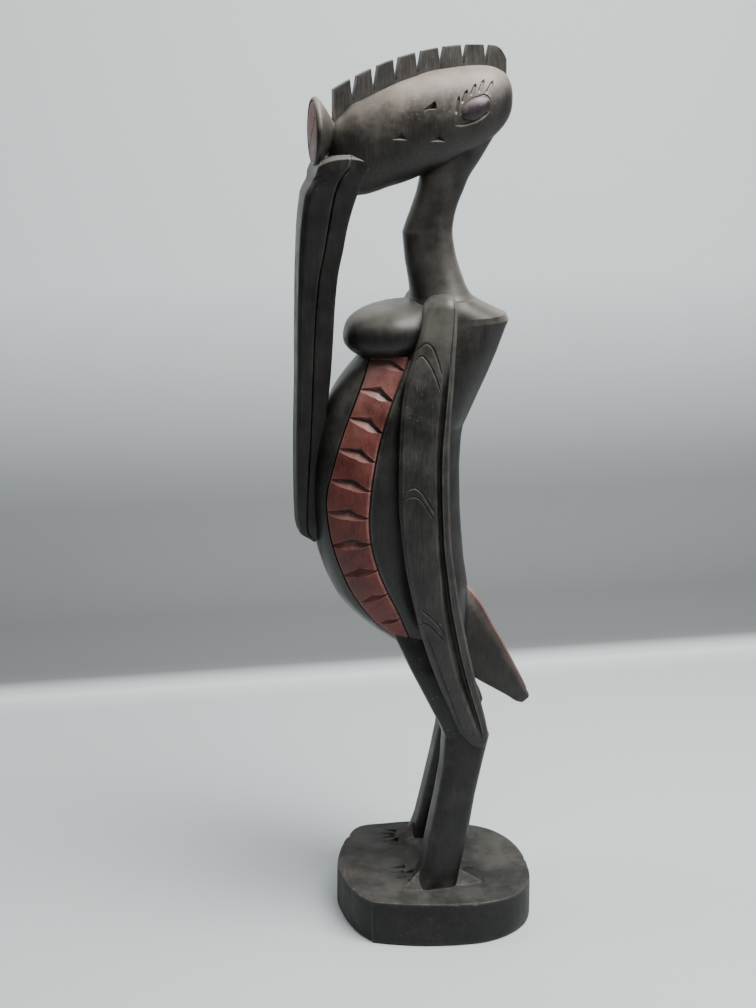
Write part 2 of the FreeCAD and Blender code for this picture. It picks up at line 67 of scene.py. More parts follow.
def ramp(tree, source, stops):
    """Colour ramp with stops of place and grey or colour."""
    made = node(tree, "ShaderNodeValToRGB", [("Fac", source)])
    ends = made.color_ramp.elements
    for index, (place, colour) in enumerate(stops):
        stop = ends[index] if index < len(ends) else ends.new(place)
        stop.position = place
        stop.color = (colour, colour, colour, 1) if isinstance(colour, float) else (*colour, 1)
    return made.outputs["Color"]


sweep_line = [(3.5, 0.0), (SWEEP_FOOT, 0.0)]
for step in range(1, 13):
    turn = math.radians(7.0 * step)
    sweep_line.append((SWEEP_FOOT - SWEEP_BEND * math.sin(turn), SWEEP_BEND * (1 - math.cos(turn))))
sweep_line.append((-0.95, 4.0))
sweep_mesh = bpy.data.meshes.new("sweep")
sweep_points = [(along, side, up) for along, up in sweep_line for side in (-5.0, 5.0)]
sweep_mesh.from_pydata(sweep_points, [], [(2 * i, 2 * i + 1, 2 * i + 3, 2 * i + 2)
                                          for i in range(len(sweep_line) - 1)])
sweep = bpy.data.objects.new("sweep", sweep_mesh)
bpy.context.scene.collection.objects.link(sweep)
sweep_mesh.shade_smooth()
paper = bpy.data.materials.new("pale paper")
paper.use_nodes = True
paper_tree = paper.node_tree
paper_shader = paper_tree.nodes["Principled BSDF"]
paper_place = node(paper_tree, "ShaderNodeTexCoord").outputs["Object"]
paper_height = node(paper_tree, "ShaderNodeSeparateXYZ", [("Vector", paper_place)]).outputs["Z"]
# painted shade and highlight by height: a thin bright line just above the floor, a dark band up the
# foot of the wall, lighter higher up
paper_painted_light_greys = [(0.0, 0.62), (0.004, 0.78), (0.012, 0.16), (0.05, 0.13), (0.16, 0.20), (0.32, 0.48),
               (0.42, 0.64), (0.75, 0.55)]
paper_painted_light = ramp(paper_tree, paper_height, [(place, (grey * 0.94, grey, grey * 1.005))
                                             for place, grey in paper_painted_light_greys])
paper_tree.links.new(paper_painted_light, paper_shader.inputs["Base Color"])
paper_shader.inputs["Roughness"].default_value = 0.65
# the paper's back face is clear, so that it never hides the figure from a view behind it
paper_side = node(paper_tree, "ShaderNodeNewGeometry").outputs["Backfacing"]
paper_clear = node(paper_tree, "ShaderNodeBsdfTransparent").outputs[0]
paper_mix = node(paper_tree, "ShaderNodeMixShader", [(0, paper_side), (1, paper_shader.outputs[0]),
                                                     (2, paper_clear)])
paper_tree.links.new(paper_mix.outputs[0], paper_tree.nodes["Material Output"].inputs["Surface"])
sweep_mesh.materials.append(paper)


def soft_lamp(name, place, aim, width, watts):
    """Square soft lamp at a place, pointed at another."""
    lamp = bpy.data.lights.new(name, "AREA")
    lamp.size = width
    lamp.energy = watts
    lamp_object = bpy.data.objects.new(name, lamp)
    bpy.context.scene.collection.objects.link(lamp_object)
    lamp_object.location = place
    lamp_object.rotation_euler = (Vector(aim) - Vector(place)).to_track_quat("-Z", "Y").to_euler()


soft_lamp("overhead", (0.34, 0.40, 1.5), (0, 0, 0.3), 0.9, 42.0)
soft_lamp("front fill", (1.9, -1.3, 1.0), (0, 0, 0.35), 1.2, 1.2)
soft_lamp("back fill", (0.80, 1.10, 1.20), (0, 0, 0.5), 0.6, 8.0)
soft_lamp("backdrop wash", (-0.25, -0.9, 1.75), (-0.9, -0.55, 0.9), 0.5, 9.0)
world = bpy.data.worlds.new("room")
world.use_nodes = True
world.node_tree.nodes["Background"].inputs["Color"].default_value = (0.80, 0.84, 0.88, 1)
world.node_tree.nodes["Background"].inputs["Strength"].default_value = 0.11
bpy.context.scene.world = world

camera_data = bpy.data.cameras.new("camera")
camera_data.lens = 62.74
camera_data.sensor_width = 36.0
camera = bpy.data.objects.new("camera", camera_data)
bpy.context.scene.collection.objects.link(camera)
camera.location = (1.3087, -0.3023, 0.7114)
camera.rotation_euler = (Vector((0, -0.04795, 0.34138)) - camera.location).to_track_quat(
    "-Z", "Y").to_euler()
bpy.context.scene.camera = camera

# ---------------------------------------------------------------- plinth
# A slab cut across a log about 160 mm thick, hewn to shape, its top gouged into toes round two
# sunk feet and its rim worn pale. The feet stand in it and nothing else is fixed to it.
MM = 0.001


def smooth(where, knots, values):
    """Smooth curve through given values."""
    knots = np.asarray(knots, float)
    values = np.asarray(values, float)
    slopes = np.gradient(values, knots)
    cell = np.clip(np.searchsorted(knots, where) - 1, 0, len(knots) - 2)
    run = knots[cell + 1] - knots[cell]
    t = np.clip((where - knots[cell]) / run, 0, 1)
    return (values[cell] * (1 + 2 * t) * (1 - t) ** 2 + slopes[cell] * run * t * (1 - t) ** 2
            + values[cell + 1] * t * t * (3 - 2 * t) + slopes[cell + 1] * run * t * t * (t - 1))


def ease(value, low, high):
    """0 below low, 1 above high and a soft step between."""
    t = np.clip((value - low) / (high - low), 0, 1)
    return t * t * (3 - 2 * t)


def closed_skin(name, rings):
    """Closed mesh from a stack of rings in millimetres, with a point at each end."""
    rings = np.asarray(rings, float)
    rows, around, _ = rings.shape
    points = np.concatenate([rings.reshape(-1, 3), rings[0].mean(0)[None], rings[-1].mean(0)[None]])
    first = np.arange(rows - 1)[:, None] * around + np.arange(around)[None]
    turn = np.roll(np.arange(around), -1)
    second = np.arange(rows - 1)[:, None] * around + turn[None]
    quads = np.stack([first, second, second + around, first + around], -1).reshape(-1, 4)
    last = (rows - 1) * around
    bottom = [(rows * around, b, a) for a, b in zip(range(around), turn)]
    top = [(rows * around + 1, last + a, last + b) for a, b in zip(range(around), turn)]
    mesh = bpy.data.meshes.new(name)
    mesh.from_pydata(points * MM, [], quads.tolist() + bottom + top)
    work = bmesh.new()
    work.from_mesh(mesh)
    bmesh.ops.remove_doubles(work, verts=work.verts, dist=0.02 * MM)
    bmesh.ops.recalc_face_normals(work, faces=work.faces)
    work.to_mesh(mesh)
    work.free()
    piece = bpy.data.objects.new(name, mesh)
    bpy.context.scene.collection.objects.link(piece)
    return piece


def stacked(levels, halves, lows, tops, unit_x, unit_up, upright=True):
    """Rings of a form along its own axis, upright or from front to back.

    Each ring has a half width, and spans from a low to a top value on the third axis.
    """
    rings = np.zeros((len(levels), unit_x.shape[-1], 3))
    axis, span = (2, 1) if upright else (1, 2)
    rings[:, :, 0] = halves[:, None] * unit_x
    rings[:, :, axis] = levels[:, None]
    rings[:, :, span] = ((lows + tops) / 2)[:, None] + ((tops - lows) / 2)[:, None] * unit_up
    return rings


def finished(piece, finish, slot, *nodes, crease=32.0):
    """Shade a piece, give it its finish and let it stand for its solids."""
    piece.data.shade_smooth()
    piece.data.set_sharp_from_angle(angle=math.radians(crease))
    piece.data.materials.clear()
    piece.data.materials.append(finish)
    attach(piece, "root")
    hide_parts(*nodes)


def blend(tree, kind, amount, under, over):
    """Mix of two colours."""
    made = node(tree, "ShaderNodeMix", data_type="RGBA", blend_type=kind)
    for socket, source in ((0, amount), (6, under), (7, over)):
        if hasattr(source, "node"):
            tree.links.new(source, made.inputs[socket])
        elif isinstance(source, float):
            made.inputs[socket].default_value = source
        else:
            made.inputs[socket].default_value = (*source, 1)
    return made.outputs[2]


def noise(tree, place, scale, detail, rough=0.5):
    """Noise over a place."""
    return node(tree, "ShaderNodeTexNoise", [("Vector", place), ("Scale", scale),
                ("Detail", detail), ("Roughness", rough)]).outputs["Fac"]


def spread(tree, source, low, high, least=0.0, most=1.0, **settings):
    """Value taken from one range to another."""
    return node(tree, "ShaderNodeMapRange", [("Value", source), ("From Min", low),
                ("From Max", high), ("To Min", least), ("To Max", most)], **settings).outputs[0]


def worked_out(tree, operation, *values):
    """Sum or product of values."""
    return node(tree, "ShaderNodeMath", list(enumerate(values)), operation=operation).outputs[0]


def bumped(tree, height, strength, distance, *normal):
    """Small relief, on top of an earlier one if that is given."""
    return node(tree, "ShaderNodeBump", [("Height", height), ("Strength", strength),
                ("Distance", distance), *[("Normal", under) for under in normal]]).outputs["Normal"]


def stained_wood(name, dark, light, dust_and_top_light, dust_and_top_light_amount=0.6, wear=0.5, gloss=0.5, rings=0.0,
                 specks=0.5, rough=0.0, shoulder_highlight=0.0):
    """Oiled and stained wood: fine grain, mottled stain, dust with painted top light above, and rubbed
    edges.
    """
    finish = bpy.data.materials.new(name)
    finish.use_nodes = True
    tree = finish.node_tree
    shader = tree.nodes["Principled BSDF"]
    place = node(tree, "ShaderNodeTexCoord").outputs["Object"]
    along = node(tree, "ShaderNodeMapping", [("Vector", place),
                 ("Scale", (1.0, 1.0, 0.07))]).outputs["Vector"]
    streaks = noise(tree, along, 900.0, 6.0, 0.68)
    blotch = noise(tree, place, 48.0, 8.0, 0.68)
    cloud = noise(tree, place, 13.0, 5.0, 0.6)
    grain = ramp(tree, streaks, [(0.36, dark), (0.86, light)])
    mottle = ramp(tree, blotch, [(0.34, 0.55), (0.66, 1.35)])
    colour = blend(tree, "MULTIPLY", 1.0, grain, mottle)
    form = node(tree, "ShaderNodeNewGeometry").outputs
    facing = node(tree, "ShaderNodeSeparateXYZ", [("Vector", form["Normal"])]).outputs["Z"]
    spot = node(tree, "ShaderNodeSeparateXYZ", [("Vector", place)]).outputs
    # dust and painted top light on what faces up, so upward faces are lighter as if lit from above, and
    # a painted highlight in the dust colour from the shoulders upwards
    uneven = worked_out(tree, "MULTIPLY_ADD", blotch, 0.9, facing)
    dust_and_highlight_mask = worked_out(tree, "ADD", uneven, spread(tree, spot["Z"], 0.44, 0.50, 0.0, shoulder_highlight))
    up = spread(tree, dust_and_highlight_mask, 0.45, 1.4, 0.0, dust_and_top_light_amount, interpolation_type="SMOOTHSTEP")
    lying = spread(tree, cloud, 0.36, 0.62, 0.35)
    colour = blend(tree, "MIX", worked_out(tree, "MULTIPLY", up, lying), colour, dust_and_top_light)
    if rings:
        # growth rings show in patches on a level top, more of them towards the front
        centred = node(tree, "ShaderNodeMapping", [("Vector", place),
                       ("Location", (-0.030, 0.004, 0.0))]).outputs["Vector"]
        growth = node(tree, "ShaderNodeTexWave", [("Vector", centred), ("Scale", 72.0),
                      ("Distortion", 7.0), ("Detail", 4.0), ("Detail Scale", 2.4)],
                      wave_type="RINGS", rings_direction="Z").outputs["Fac"]
        patch = worked_out(tree, "ADD", noise(tree, place, 26.0, 5.0),
                           spread(tree, spot["Y"], -0.035, -0.075, -0.22, 0.08))
        bare = worked_out(tree, "MULTIPLY", spread(tree, patch, 0.50, 0.70, 0.0, rings),
                          spread(tree, facing, 0.8, 0.99))
        ring_colour = ramp(tree, growth, [(0.25, (0.030, 0.018, 0.014)),
                                          (0.85, (0.100, 0.062, 0.042))])
        colour = blend(tree, "MIX", bare, colour, ring_colour)
        # chips along slanting edges, and a blotched stain over everything
        chip = spread(tree, noise(tree, place, 75.0, 8.0, 0.75), 0.50, 0.62, 0.0, 0.75)
        edges = worked_out(tree, "MULTIPLY", spread(tree, facing, 0.12, 0.4),
                           spread(tree, facing, 0.985, 0.90))
        colour = blend(tree, "MIX", worked_out(tree, "MULTIPLY", edges, chip), colour,
                       (0.13, 0.12, 0.105))
        stain = spread(tree, noise(tree, place, 30.0, 9.0, 0.7), 0.58, 0.42)
        colour = blend(tree, "MULTIPLY", stain, colour, (0.35, 0.33, 0.31))
    # rubbed edges and a few pale flecks
    worn = worked_out(tree, "MULTIPLY", spread(tree, form["Pointiness"], 0.512, 0.58, 0.0, wear),
                      spread(tree, blotch, 0.36, 0.58, 0.15))
    pale = tuple(0.25 * a + 0.75 * b for a, b in zip(light, dust_and_top_light))
    colour = blend(tree, "MIX", worn, colour, pale)
    flecks = node(tree, "ShaderNodeTexVoronoi", [("Vector", place), ("Scale", 260.0)],
                  feature="F1").outputs["Distance"]
    few = worked_out(tree, "MULTIPLY", spread(tree, flecks, 0.20, 0.10, 0.0, specks),
                     spread(tree, cloud, 0.52, 0.66))
    colour = blend(tree, "MIX", few, colour, dust_and_top_light)
    tree.links.new(colour, shader.inputs["Base Color"])
    sheen = spread(tree, blotch, 0.3, 0.7, gloss - 0.07, gloss + 0.15)
    tree.links.new(sheen, shader.inputs["Roughness"])
    cuts = node(tree, "ShaderNodeTexVoronoi", [("Vector", along), ("Scale", 85.0),
                ("Smoothness", 0.7)], feature="SMOOTH_F1").outputs["Distance"]
    fine = bumped(tree, streaks, 0.18, 0.0003)
    pitted = bumped(tree, blotch, 0.12 + 0.9 * rough, 0.0012, fine)
    tree.links.new(bumped(tree, cuts, 0.14, 0.0012, pitted), shader.inputs["Normal"])
    shader.inputs["Specular IOR Level"].default_value = 0.36
    return finish


PLINTH_TOP = 35.5
PLINTH_MIDDLE = np.array([15.5, -6.0])
RIM_TURNS = [-46, -31, -9, 8, 21, 37, 49, 61, 78, 96, 116, 128, 144, 161, 180, 197, 211, 225, 243,
             264, 274, 293, 307, 314]
RIM_REACH = [84.5, 77.5, 74.5, 77.5, 82.4, 87.5, 86.5, 84, 79.5, 78.8, 80.5, 81.2, 79, 77, 79,
             83.2, 90.6, 85.0, 79.4, 78, 77.4, 79.9, 83.5, 84.5]
# each foot: its centre, the half width of its carved outline and how far that bulges, and the
# middle and half length of the outline ahead of the centre
FEET = [(46.0, -8.0, 13.0, 8.0, -3.0, 34.0), (-42.0, 6.0, 21.0, 4.5, 4.0, 41.0)]
turns = np.linspace(-46, 314, 521)[:-1]
reach = smooth(turns, RIM_TURNS, RIM_REACH)
around = np.stack([np.cos(np.radians(turns)), np.sin(np.radians(turns))], 1)
chips = (np.clip(np.sin(np.radians(turns * 5 + 40)), 0, 1) ** 3
         * np.clip(np.sin(np.radians(turns * 31)), 0, 1))


def plinth_relief(x, y):
    """Height of the plinth's carved top over its plane."""
    height = (0.30 * np.sin(x / 9.0 + y / 21.0) + 0.25 * np.sin(y / 7.0 - x / 17.0)
              + 0.15 * np.sin(x / 3.1) * np.sin(y / 4.3))
    for foot_x, foot_y, half, bulge, middle, length in FEET:
        across = x - foot_x
        ahead = foot_y - y
        share = np.clip((ahead - middle) / length, -1, 1)
        outline = half + bulge * (1 - share ** 2)
        sunk = 0
        for side in (1, -1):
            inside = outline - side * across
            slope = ease(inside, -0.3, 0.7) * (1 - ease(inside, 0.7, 12.0))
            sunk = np.maximum(sunk, 2.4 * (1 - share ** 2) ** 0.4 * slope * (inside < 20))
        height = height - sunk
        for point in (1, -1):
            tip = point * middle + length
            travel = np.clip((point * ahead - 15.0) / (tip - 15.0), 0, 1)
            centre = 3.0 + (half - 4.5) * travel
            wide = 9.5 * (1 - travel) + 0.6
            ridge = 12.0 * (1 - travel) ** 0.9 * (1 - np.abs(across - centre) / wide)
            near = (point * ahead > 8) & (travel < 1)
            height = np.where(near, np.maximum(height, ridge - 1.2), height)
    return height


rings = []
for level, inset in ((0.0, 1.6), (0.5, 0.8), (1.4, 0.25), (3.0, 0.0), (9.0, 0.0), (16.0, 0.1),
                     (23.0, 0.1), (29.0, 0.2), (33.0, 0.4)):
    flare = (1 - level / PLINTH_TOP) * (2.6 * np.exp(-((turns + 22) / 34.0) ** 2)
                                        - 2.6 * np.exp(-((turns - 36) / 12.0) ** 2))
    reached = (reach - inset + flare)[:, None] * around + PLINTH_MIDDLE
    rings.append(np.column_stack([reached, np.full(len(reached), level)]))
for inward in [0.5, 0.8, 1.4, 2.2, 3.2, 4.4, 5.8, 7.2] + list(np.arange(8.4, 72.0, 0.8)):
    share = np.clip(inward / 72.0, 0, 1)
    reached = (reach * (1 - share) - inward * 0.1 * (1 - share))[:, None] * around + PLINTH_MIDDLE
    soft = 1.1 + 1.6 * chips
    edge = soft * np.clip(1 - inward / (2.2 + 2.6 * chips), 0, 1) ** 2
    fade = ease(np.full(len(reached), inward), 1.5, 9.0)
    height = PLINTH_TOP - edge + plinth_relief(reached[:, 0], reached[:, 1]) * fade
    rings.append(np.column_stack([reached, height]))
plinth = closed_skin("plinth", rings)

# Toe gouges: short V cuts ahead of each foot, made by one tree that repeats a cutter.


def wood_tree(name, *sockets):
    """New tree for a piece of wood, with named inputs and the finish that it ends with."""
    tree = bpy.data.node_groups.new(name, "GeometryNodeTree")
    for word, kind in (("Wood", "Geometry"), *sockets, ("Finish", "Material")):
        tree.interface.new_socket(word, in_out="INPUT", socket_type="NodeSocket" + kind)
    tree.interface.new_socket("Wood", in_out="OUTPUT", socket_type="NodeSocketGeometry")
    return tree, node(tree, "NodeGroupInput").outputs


def cut_away(tree, given, tool):
    """End a tree: the tool is taken out of the wood, which becomes real and gets its finish."""
    cut = node(tree, "GeometryNodeMeshBoolean", operation="DIFFERENCE", solver="MANIFOLD")
    tree.links.new(given["Wood"], cut.inputs[0])
    tree.links.new(tool, cut.inputs[1])
    whole = node(tree, "GeometryNodeRealizeInstances", [("Geometry", cut.outputs[0])])
    painted = node(tree, "GeometryNodeSetMaterial", [("Geometry", whole.outputs[0]),
                   ("Material", given["Finish"])])
    tree.links.new(painted.outputs[0], node(tree, "NodeGroupOutput").inputs[0])
    return tree


def cut_tree(name, along_line=True):
    """Tree that cuts a shape out of the wood again and again along a line.

    The cutter's Z points out of the wood. Its Y follows the line, or else its X lies towards
    the figure's back.
    """
    tree, given = wood_tree(name, ("Line", "Object"), ("Cutter", "Object"), ("Count", "Int"),
                            ("Unevenness", "Float"), ("Seed", "Int"))
    line = node(tree, "GeometryNodeObjectInfo", [("Object", given["Line"])])
    tool = node(tree, "GeometryNodeObjectInfo", [("Object", given["Cutter"])])
    curve = node(tree, "GeometryNodeMeshToCurve", [("Mesh", line.outputs["Geometry"])])
    spaced = node(tree, "GeometryNodeResampleCurve", [("Curve", curve.outputs["Curve"]),
                  ("Count", given["Count"])])
    outward, scale = (node(tree, "GeometryNodeInputNamedAttribute", [("Name", word)],
                           data_type="FLOAT_VECTOR").outputs[0] for word in ("outward", "reach"))
    stand = node(tree, "FunctionNodeAlignRotationToVector", [("Vector", outward)], axis="Z")
    toward = node(tree, "GeometryNodeInputTangent").outputs[0] if along_line else (0, 1, 0)
    lie = node(tree, "FunctionNodeAlignRotationToVector", [("Rotation", stand.outputs[0]),
               ("Vector", toward)], axis="Y" if along_line else "X", pivot_axis="Z")
    slip = node(tree, "FunctionNodeRandomValue", [("Seed", given["Seed"])], data_type="FLOAT")
    slips = {socket.name: socket for socket in slip.inputs if socket.type == "VALUE"}
    tree.links.new(worked_out(tree, "MULTIPLY", given["Unevenness"], -1.0), slips["Min"])
    tree.links.new(given["Unevenness"], slips["Max"])
    slipped = next(socket for socket in slip.outputs if socket.type == "VALUE")
    twist = node(tree, "FunctionNodeAxisAngleToRotation", [("Axis", (0.0, 0.0, 1.0)),
                 ("Angle", slipped)])
    turned = node(tree, "FunctionNodeRotateRotation", [("Rotation", lie.outputs[0]),
                  ("Rotate By", twist.outputs[0])], rotation_space="LOCAL")
    placed = node(tree, "GeometryNodeInstanceOnPoints", [("Points", spaced.outputs["Curve"]),
                  ("Instance", tool.outputs["Geometry"]), ("Rotation", turned.outputs[0]),
                  ("Scale", scale)])
    real = node(tree, "GeometryNodeRealizeInstances", [("Geometry", placed.outputs[0])])
    return cut_away(tree, given, real.outputs[0])


def guide(name, points, outward, reach_out, edges=None):
    """Line of edges with an outward direction and a cutter size at each point."""
    mesh = bpy.data.meshes.new(name)
    count = len(points)
    edges = edges or [(i, i + 1) for i in range(count - 1)]
    mesh.from_pydata(np.asarray(points, float) * MM, edges, [])
    for word, values in (("outward", outward), ("reach", reach_out)):
        layer = mesh.attributes.new(word, "FLOAT_VECTOR", "POINT")
        layer.data.foreach_set("vector", np.broadcast_to(np.asarray(values, float),
                                                         (count, 3)).ravel())
    made = bpy.data.objects.new(name, mesh)
    bpy.context.scene.collection.objects.link(made)
    return made


def shape(name, points, faces):
    """Cutter from points in millimetres and faces."""
    mesh = bpy.data.meshes.new(name)
    mesh.from_pydata([tuple(c * MM for c in point) for point in points], [], faces)
    work = bmesh.new()
    work.from_mesh(mesh)
    bmesh.ops.recalc_face_normals(work, faces=work.faces)
    work.to_mesh(mesh)
    work.free()
    made = bpy.data.objects.new(name, mesh)
    bpy.context.scene.collection.objects.link(made)
    return made


def worked(piece, tree, finish, *helpers, **inputs):
    """Run a tree on a piece, keep the result as its plain mesh and clear the helpers away."""
    modifier = piece.modifiers.new("carving", "NODES")
    modifier.node_group = tree
    for socket in tree.interface.items_tree:
        if socket.in_out == "INPUT" and socket.name in inputs:
            modifier[socket.identifier] = inputs[socket.name]
        elif socket.in_out == "INPUT" and socket.name == "Finish":
            modifier[socket.identifier] = finish
    bpy.context.view_layer.update()
    seen = piece.evaluated_get(bpy.context.evaluated_depsgraph_get())
    mesh = bpy.data.meshes.new_from_object(seen)
    if len(mesh.polygons) < 0.5 * len(piece.data.polygons):
        raise RuntimeError(f"the cuts broke {piece.name}")
    piece.modifiers.clear()
    piece.data = mesh
    for helper in helpers:
        bpy.data.objects.remove(helper)


repeated_cuts = cut_tree("repeated cuts")
weathered = stained_wood("weathered stained wood", (0.0055, 0.0052, 0.0048), (0.020, 0.0185, 0.0165),
                         (0.086, 0.082, 0.070), dust_and_top_light_amount=0.56, wear=1.0, gloss=0.55,
                         rings=0.6, specks=0.5, rough=1.0)
gouge = shape("gouge", [(-7.0, -3.2, 2.5), (-7.0, 3.2, 2.5), (12.0, 0.3, 2.5), (-4.5, 0.4, -3.4)],
              [(0, 1, 2), (0, 1, 3), (1, 2, 3), (2, 0, 3)])
for name, line, seed in (("toes left", [(20, -37), (32, -40), (46, -36)], 3),
                         ("toes right", [(-50, -29), (-40, -34), (-28, -33)], 8)):
    toes = guide(name, [(x, y, PLINTH_TOP - 0.2) for x, y in line], (0, 0, 1),
                 (1.25, 1.5, 1.1))
    worked(plinth, repeated_cuts, weathered, toes, Line=toes, Cutter=gouge, Count=4,
           Unevenness=0.22, Seed=seed)
bpy.data.objects.remove(gouge)
finished(plinth, weathered, "dark_wood", "base_plinth", crease=40)

# ---------------------------------------------------------------- legs
# A flat-sided shank that leans forwards to the foot, a sharp knee and a thigh that runs up into
# the hip. Carved in one with the body, so each piece just runs into its neighbours.


def full_turn(count):
    """Angles of a number of even steps round a full turn."""
    return np.linspace(0, 2 * math.pi, count + 1)[:-1]


def hewn(turns, facets, crispness):
    """Unit section of a shape hewn to flats: each facet is a direction and a distance."""
    pull = np.zeros(len(turns))
    for facing, distance in facets:
        toward = np.maximum(np.cos(turns - math.radians(facing)), 0) / distance
        pull += toward ** crispness
    out = pull ** (-1.0 / crispness)
    return out * np.cos(turns), out * np.sin(turns)


black_wood = stained_wood("black stained wood", (0.0050, 0.0047, 0.0043), (0.019, 0.0175, 0.0158),
                          (0.150, 0.135, 0.115), dust_and_top_light_amount=0.72, wear=0.9, gloss=0.38)
LEG_LEVELS = [30, 36, 42, 53, 79, 109, 134, 158.5, 167, 178, 195, 212, 230, 243, 262]
LEG_FRONTS = [-31, -27.5, -24.5, -21, -15.2, -8.7, -4, -2.2, -5, -10.8, -19, -27.5, -35.5, -41.5,
              -51]
LEG_BACKS = [7.5, 7.4, 8.2, 10.8, 16.6, 22, 27.8, 34, 31.5, 27.5, 21.8, 17, 12, 9, 6]
LEG_CENTRES = [46, 45.6, 45.2, 44.5, 43, 41, 39.4, 37.8, 37, 36, 34.3, 32, 28.6, 25.5, 22]
LEG_HALVES = [16, 14.8, 14, 13.4, 13.2, 13.2, 13.2, 13.3, 13.3, 13.3, 13.6, 13.3, 12.6, 12, 11]
LEG_FACETS = [(0, 1.0), (90, 1.0), (180, 1.0), (270, 1.0), (318, 1.13), (225, 1.2), (45, 1.22),
              (135, 1.22)]
levels = np.concatenate([np.linspace(30, 158.5, 90), np.linspace(159.1, 262, 74)])
leg_turns = full_turn(144)
unit_x, unit_y = hewn(leg_turns, LEG_FACETS, 16)
for name, side, setback in (("leg_left", 1, 0.0), ("leg_right", -1, 14.0)):
    back_by = setback * (1 - ease(levels, 157, 250))
    fronts = np.interp(levels, LEG_LEVELS, LEG_FRONTS) + back_by
    backs = np.interp(levels, LEG_LEVELS, LEG_BACKS) + back_by
    centres = np.interp(levels, LEG_LEVELS, LEG_CENTRES)
    halves = np.interp(levels, LEG_LEVELS, LEG_HALVES)
    centres = centres - 3.5 * (side < 0) * (1 - ease(levels, 36, 150))
    rings = stacked(levels, halves, fronts, backs, unit_x, unit_y)
    rings[:, :, 0] = side * (centres[:, None] + rings[:, :, 0])
    leg = closed_skin(name + "_carved", rings)
    finished(leg, black_wood, "dark_wood", name)

# ---------------------------------------------------------------- torso
# The swollen belly and the shoulders, the thickest part of the log, smooth in front and hewn to
# straight edges behind, with a sunk bed down each side for the red scales.
BODY_LEVELS = [214, 219, 227, 237, 250, 263, 282, 298, 315, 335, 355, 376, 395, 417, 434, 449,
               459, 470, 488, 497, 504]
BODY_FRONTS = [-12, -20, -30, -46, -62.6, -75.5, -86.7, -93, -97.6, -100.6, -101.2, -100.2, -96.9,
               -90.4, -83.2, -73, -64.4, -57, -42, -27, -16]
BODY_HALVES = [22, 27, 33, 38, 42, 44.5, 47.5, 49, 50, 50.5, 50.5, 50, 49, 47, 44.5, 42, 40.5, 39,
               36.5, 35, 32]
BACK_LEVELS = [214, 250, 276.6, 299.5, 320.5, 341, 374, 397, 406, 414, 429, 445, 463, 479, 486.5,
               491.4, 496.4, 504]
BACK_LINE = [24, 24.5, 23.4, 19.8, 17.9, 16.4, 15.6, 16.9, 18.4, 22.3, 29.4, 37.1, 44.9, 51, 54,
             51.6, 40.3, 25.8]
ROUNDNESS = 2.2
# dust with painted top light on what faces up, and a painted highlight from the shoulders upwards
body_wood = stained_wood("dusty black wood with painted top light", (0.0055, 0.0052, 0.0047), (0.021, 0.0193, 0.0172),
                         (0.155, 0.140, 0.120), dust_and_top_light_amount=0.72, wear=0.9, gloss=0.34,
                         shoulder_highlight=0.42)
levels = np.concatenate([np.arange(214.0, 484.0, 1.2), np.arange(484.2, 504.4, 0.6)])
body_front = smooth(levels, BODY_LEVELS, BODY_FRONTS)
body_half = smooth(levels, BODY_LEVELS, BODY_HALVES)
body_back = np.interp(levels, BACK_LEVELS, BACK_LINE)
BED_LEVELS = [214, 232, 243, 252, 262, 271, 282, 297, 315, 335, 357, 382, 406, 429, 454, 464, 504]
BED_FRONTS = [-13, -31.5, -45, -55, -63.5, -70, -76.5, -83, -89, -93, -94, -89, -82, -73, -62,
              -57.5, -40]
BED_BACKS = [-12, -26, -30, -34, -38, -42.5, -48, -54.5, -60, -63, -62.3, -59, -53.5, -45.5,
             -34.5, -30.5, -16]


def body_turn(along, row_front, row_back):
    """Angle round the body's section at which it reaches a place along Y."""
    middle = (row_front + row_back) / 2
    depth = (row_back - row_front) / 2
    share = np.clip((middle - along) / depth, -0.999, 0.999)
    return np.arccos(np.sign(share) * np.abs(share) ** (ROUNDNESS / 2))


def body_section(turn, row_front, row_back, row_half):
    """Point of the body's section at an angle from the middle of the front."""
    middle = (row_front + row_back) / 2
    depth = (row_back - row_front) / 2
    cosine = np.cos(turn)
    across = row_half * np.abs(np.sin(turn)) ** (2 / ROUNDNESS)
    along = middle - depth * np.sign(cosine) * np.abs(cosine) ** (2 / ROUNDNESS)
    return across, along


def outward_from(across, along):
    """Outward direction at each point of a section's outline."""
    flow_x = np.gradient(across)
    flow_y = np.gradient(along)
    flow = np.hypot(flow_x, flow_y) + 1e-9
    return flow_y / flow, -flow_x / flow


bed_front = smooth(levels, BED_LEVELS, BED_FRONTS)
bed_back = smooth(levels, BED_LEVELS, BED_BACKS)
turn_in = body_turn(bed_front, body_front, body_back)
turn_out = body_turn(bed_back, body_front, body_back)
rows = []
for index, level in enumerate(levels):
    step = 0.45 / body_half[index]
    inside = np.linspace(turn_in[index] + step, turn_out[index] - step, 26)
    turn = np.concatenate([np.linspace(0, turn_in[index], 44), inside,
                           np.linspace(turn_out[index], math.pi, 80)])
    sunk = np.zeros(len(turn))
    sunk[44:70] = 2.2 * ease(level, 222, 230) * (1 - ease(level, 466, 470))
    across, along = body_section(turn, body_front[index], body_back[index], body_half[index])
    wing_front = np.interp(level, (219, 272, 319, 360, 409, 464), (-13, -28, -38, -41, -38, -30))
    hollow = ease(along, bed_back[index] + 2, wing_front + 1) * (1 - ease(along, -6, 14))
    sunk += 3.4 * hollow * ease(level, 238, 285) * (1 - ease(level, 440, 478))
    out_x, out_y = outward_from(across, along)
    across = across - sunk * out_x
    along = along - sunk * out_y
    left = np.column_stack([across, along, np.full(len(turn), level)])
    right = left[-2:0:-1] * (-1, 1, 1)
    rows.append(np.concatenate([left, right]))
torso = closed_skin("torso_carved", rows)
finished(torso, body_wood, "dark_wood", "torso")

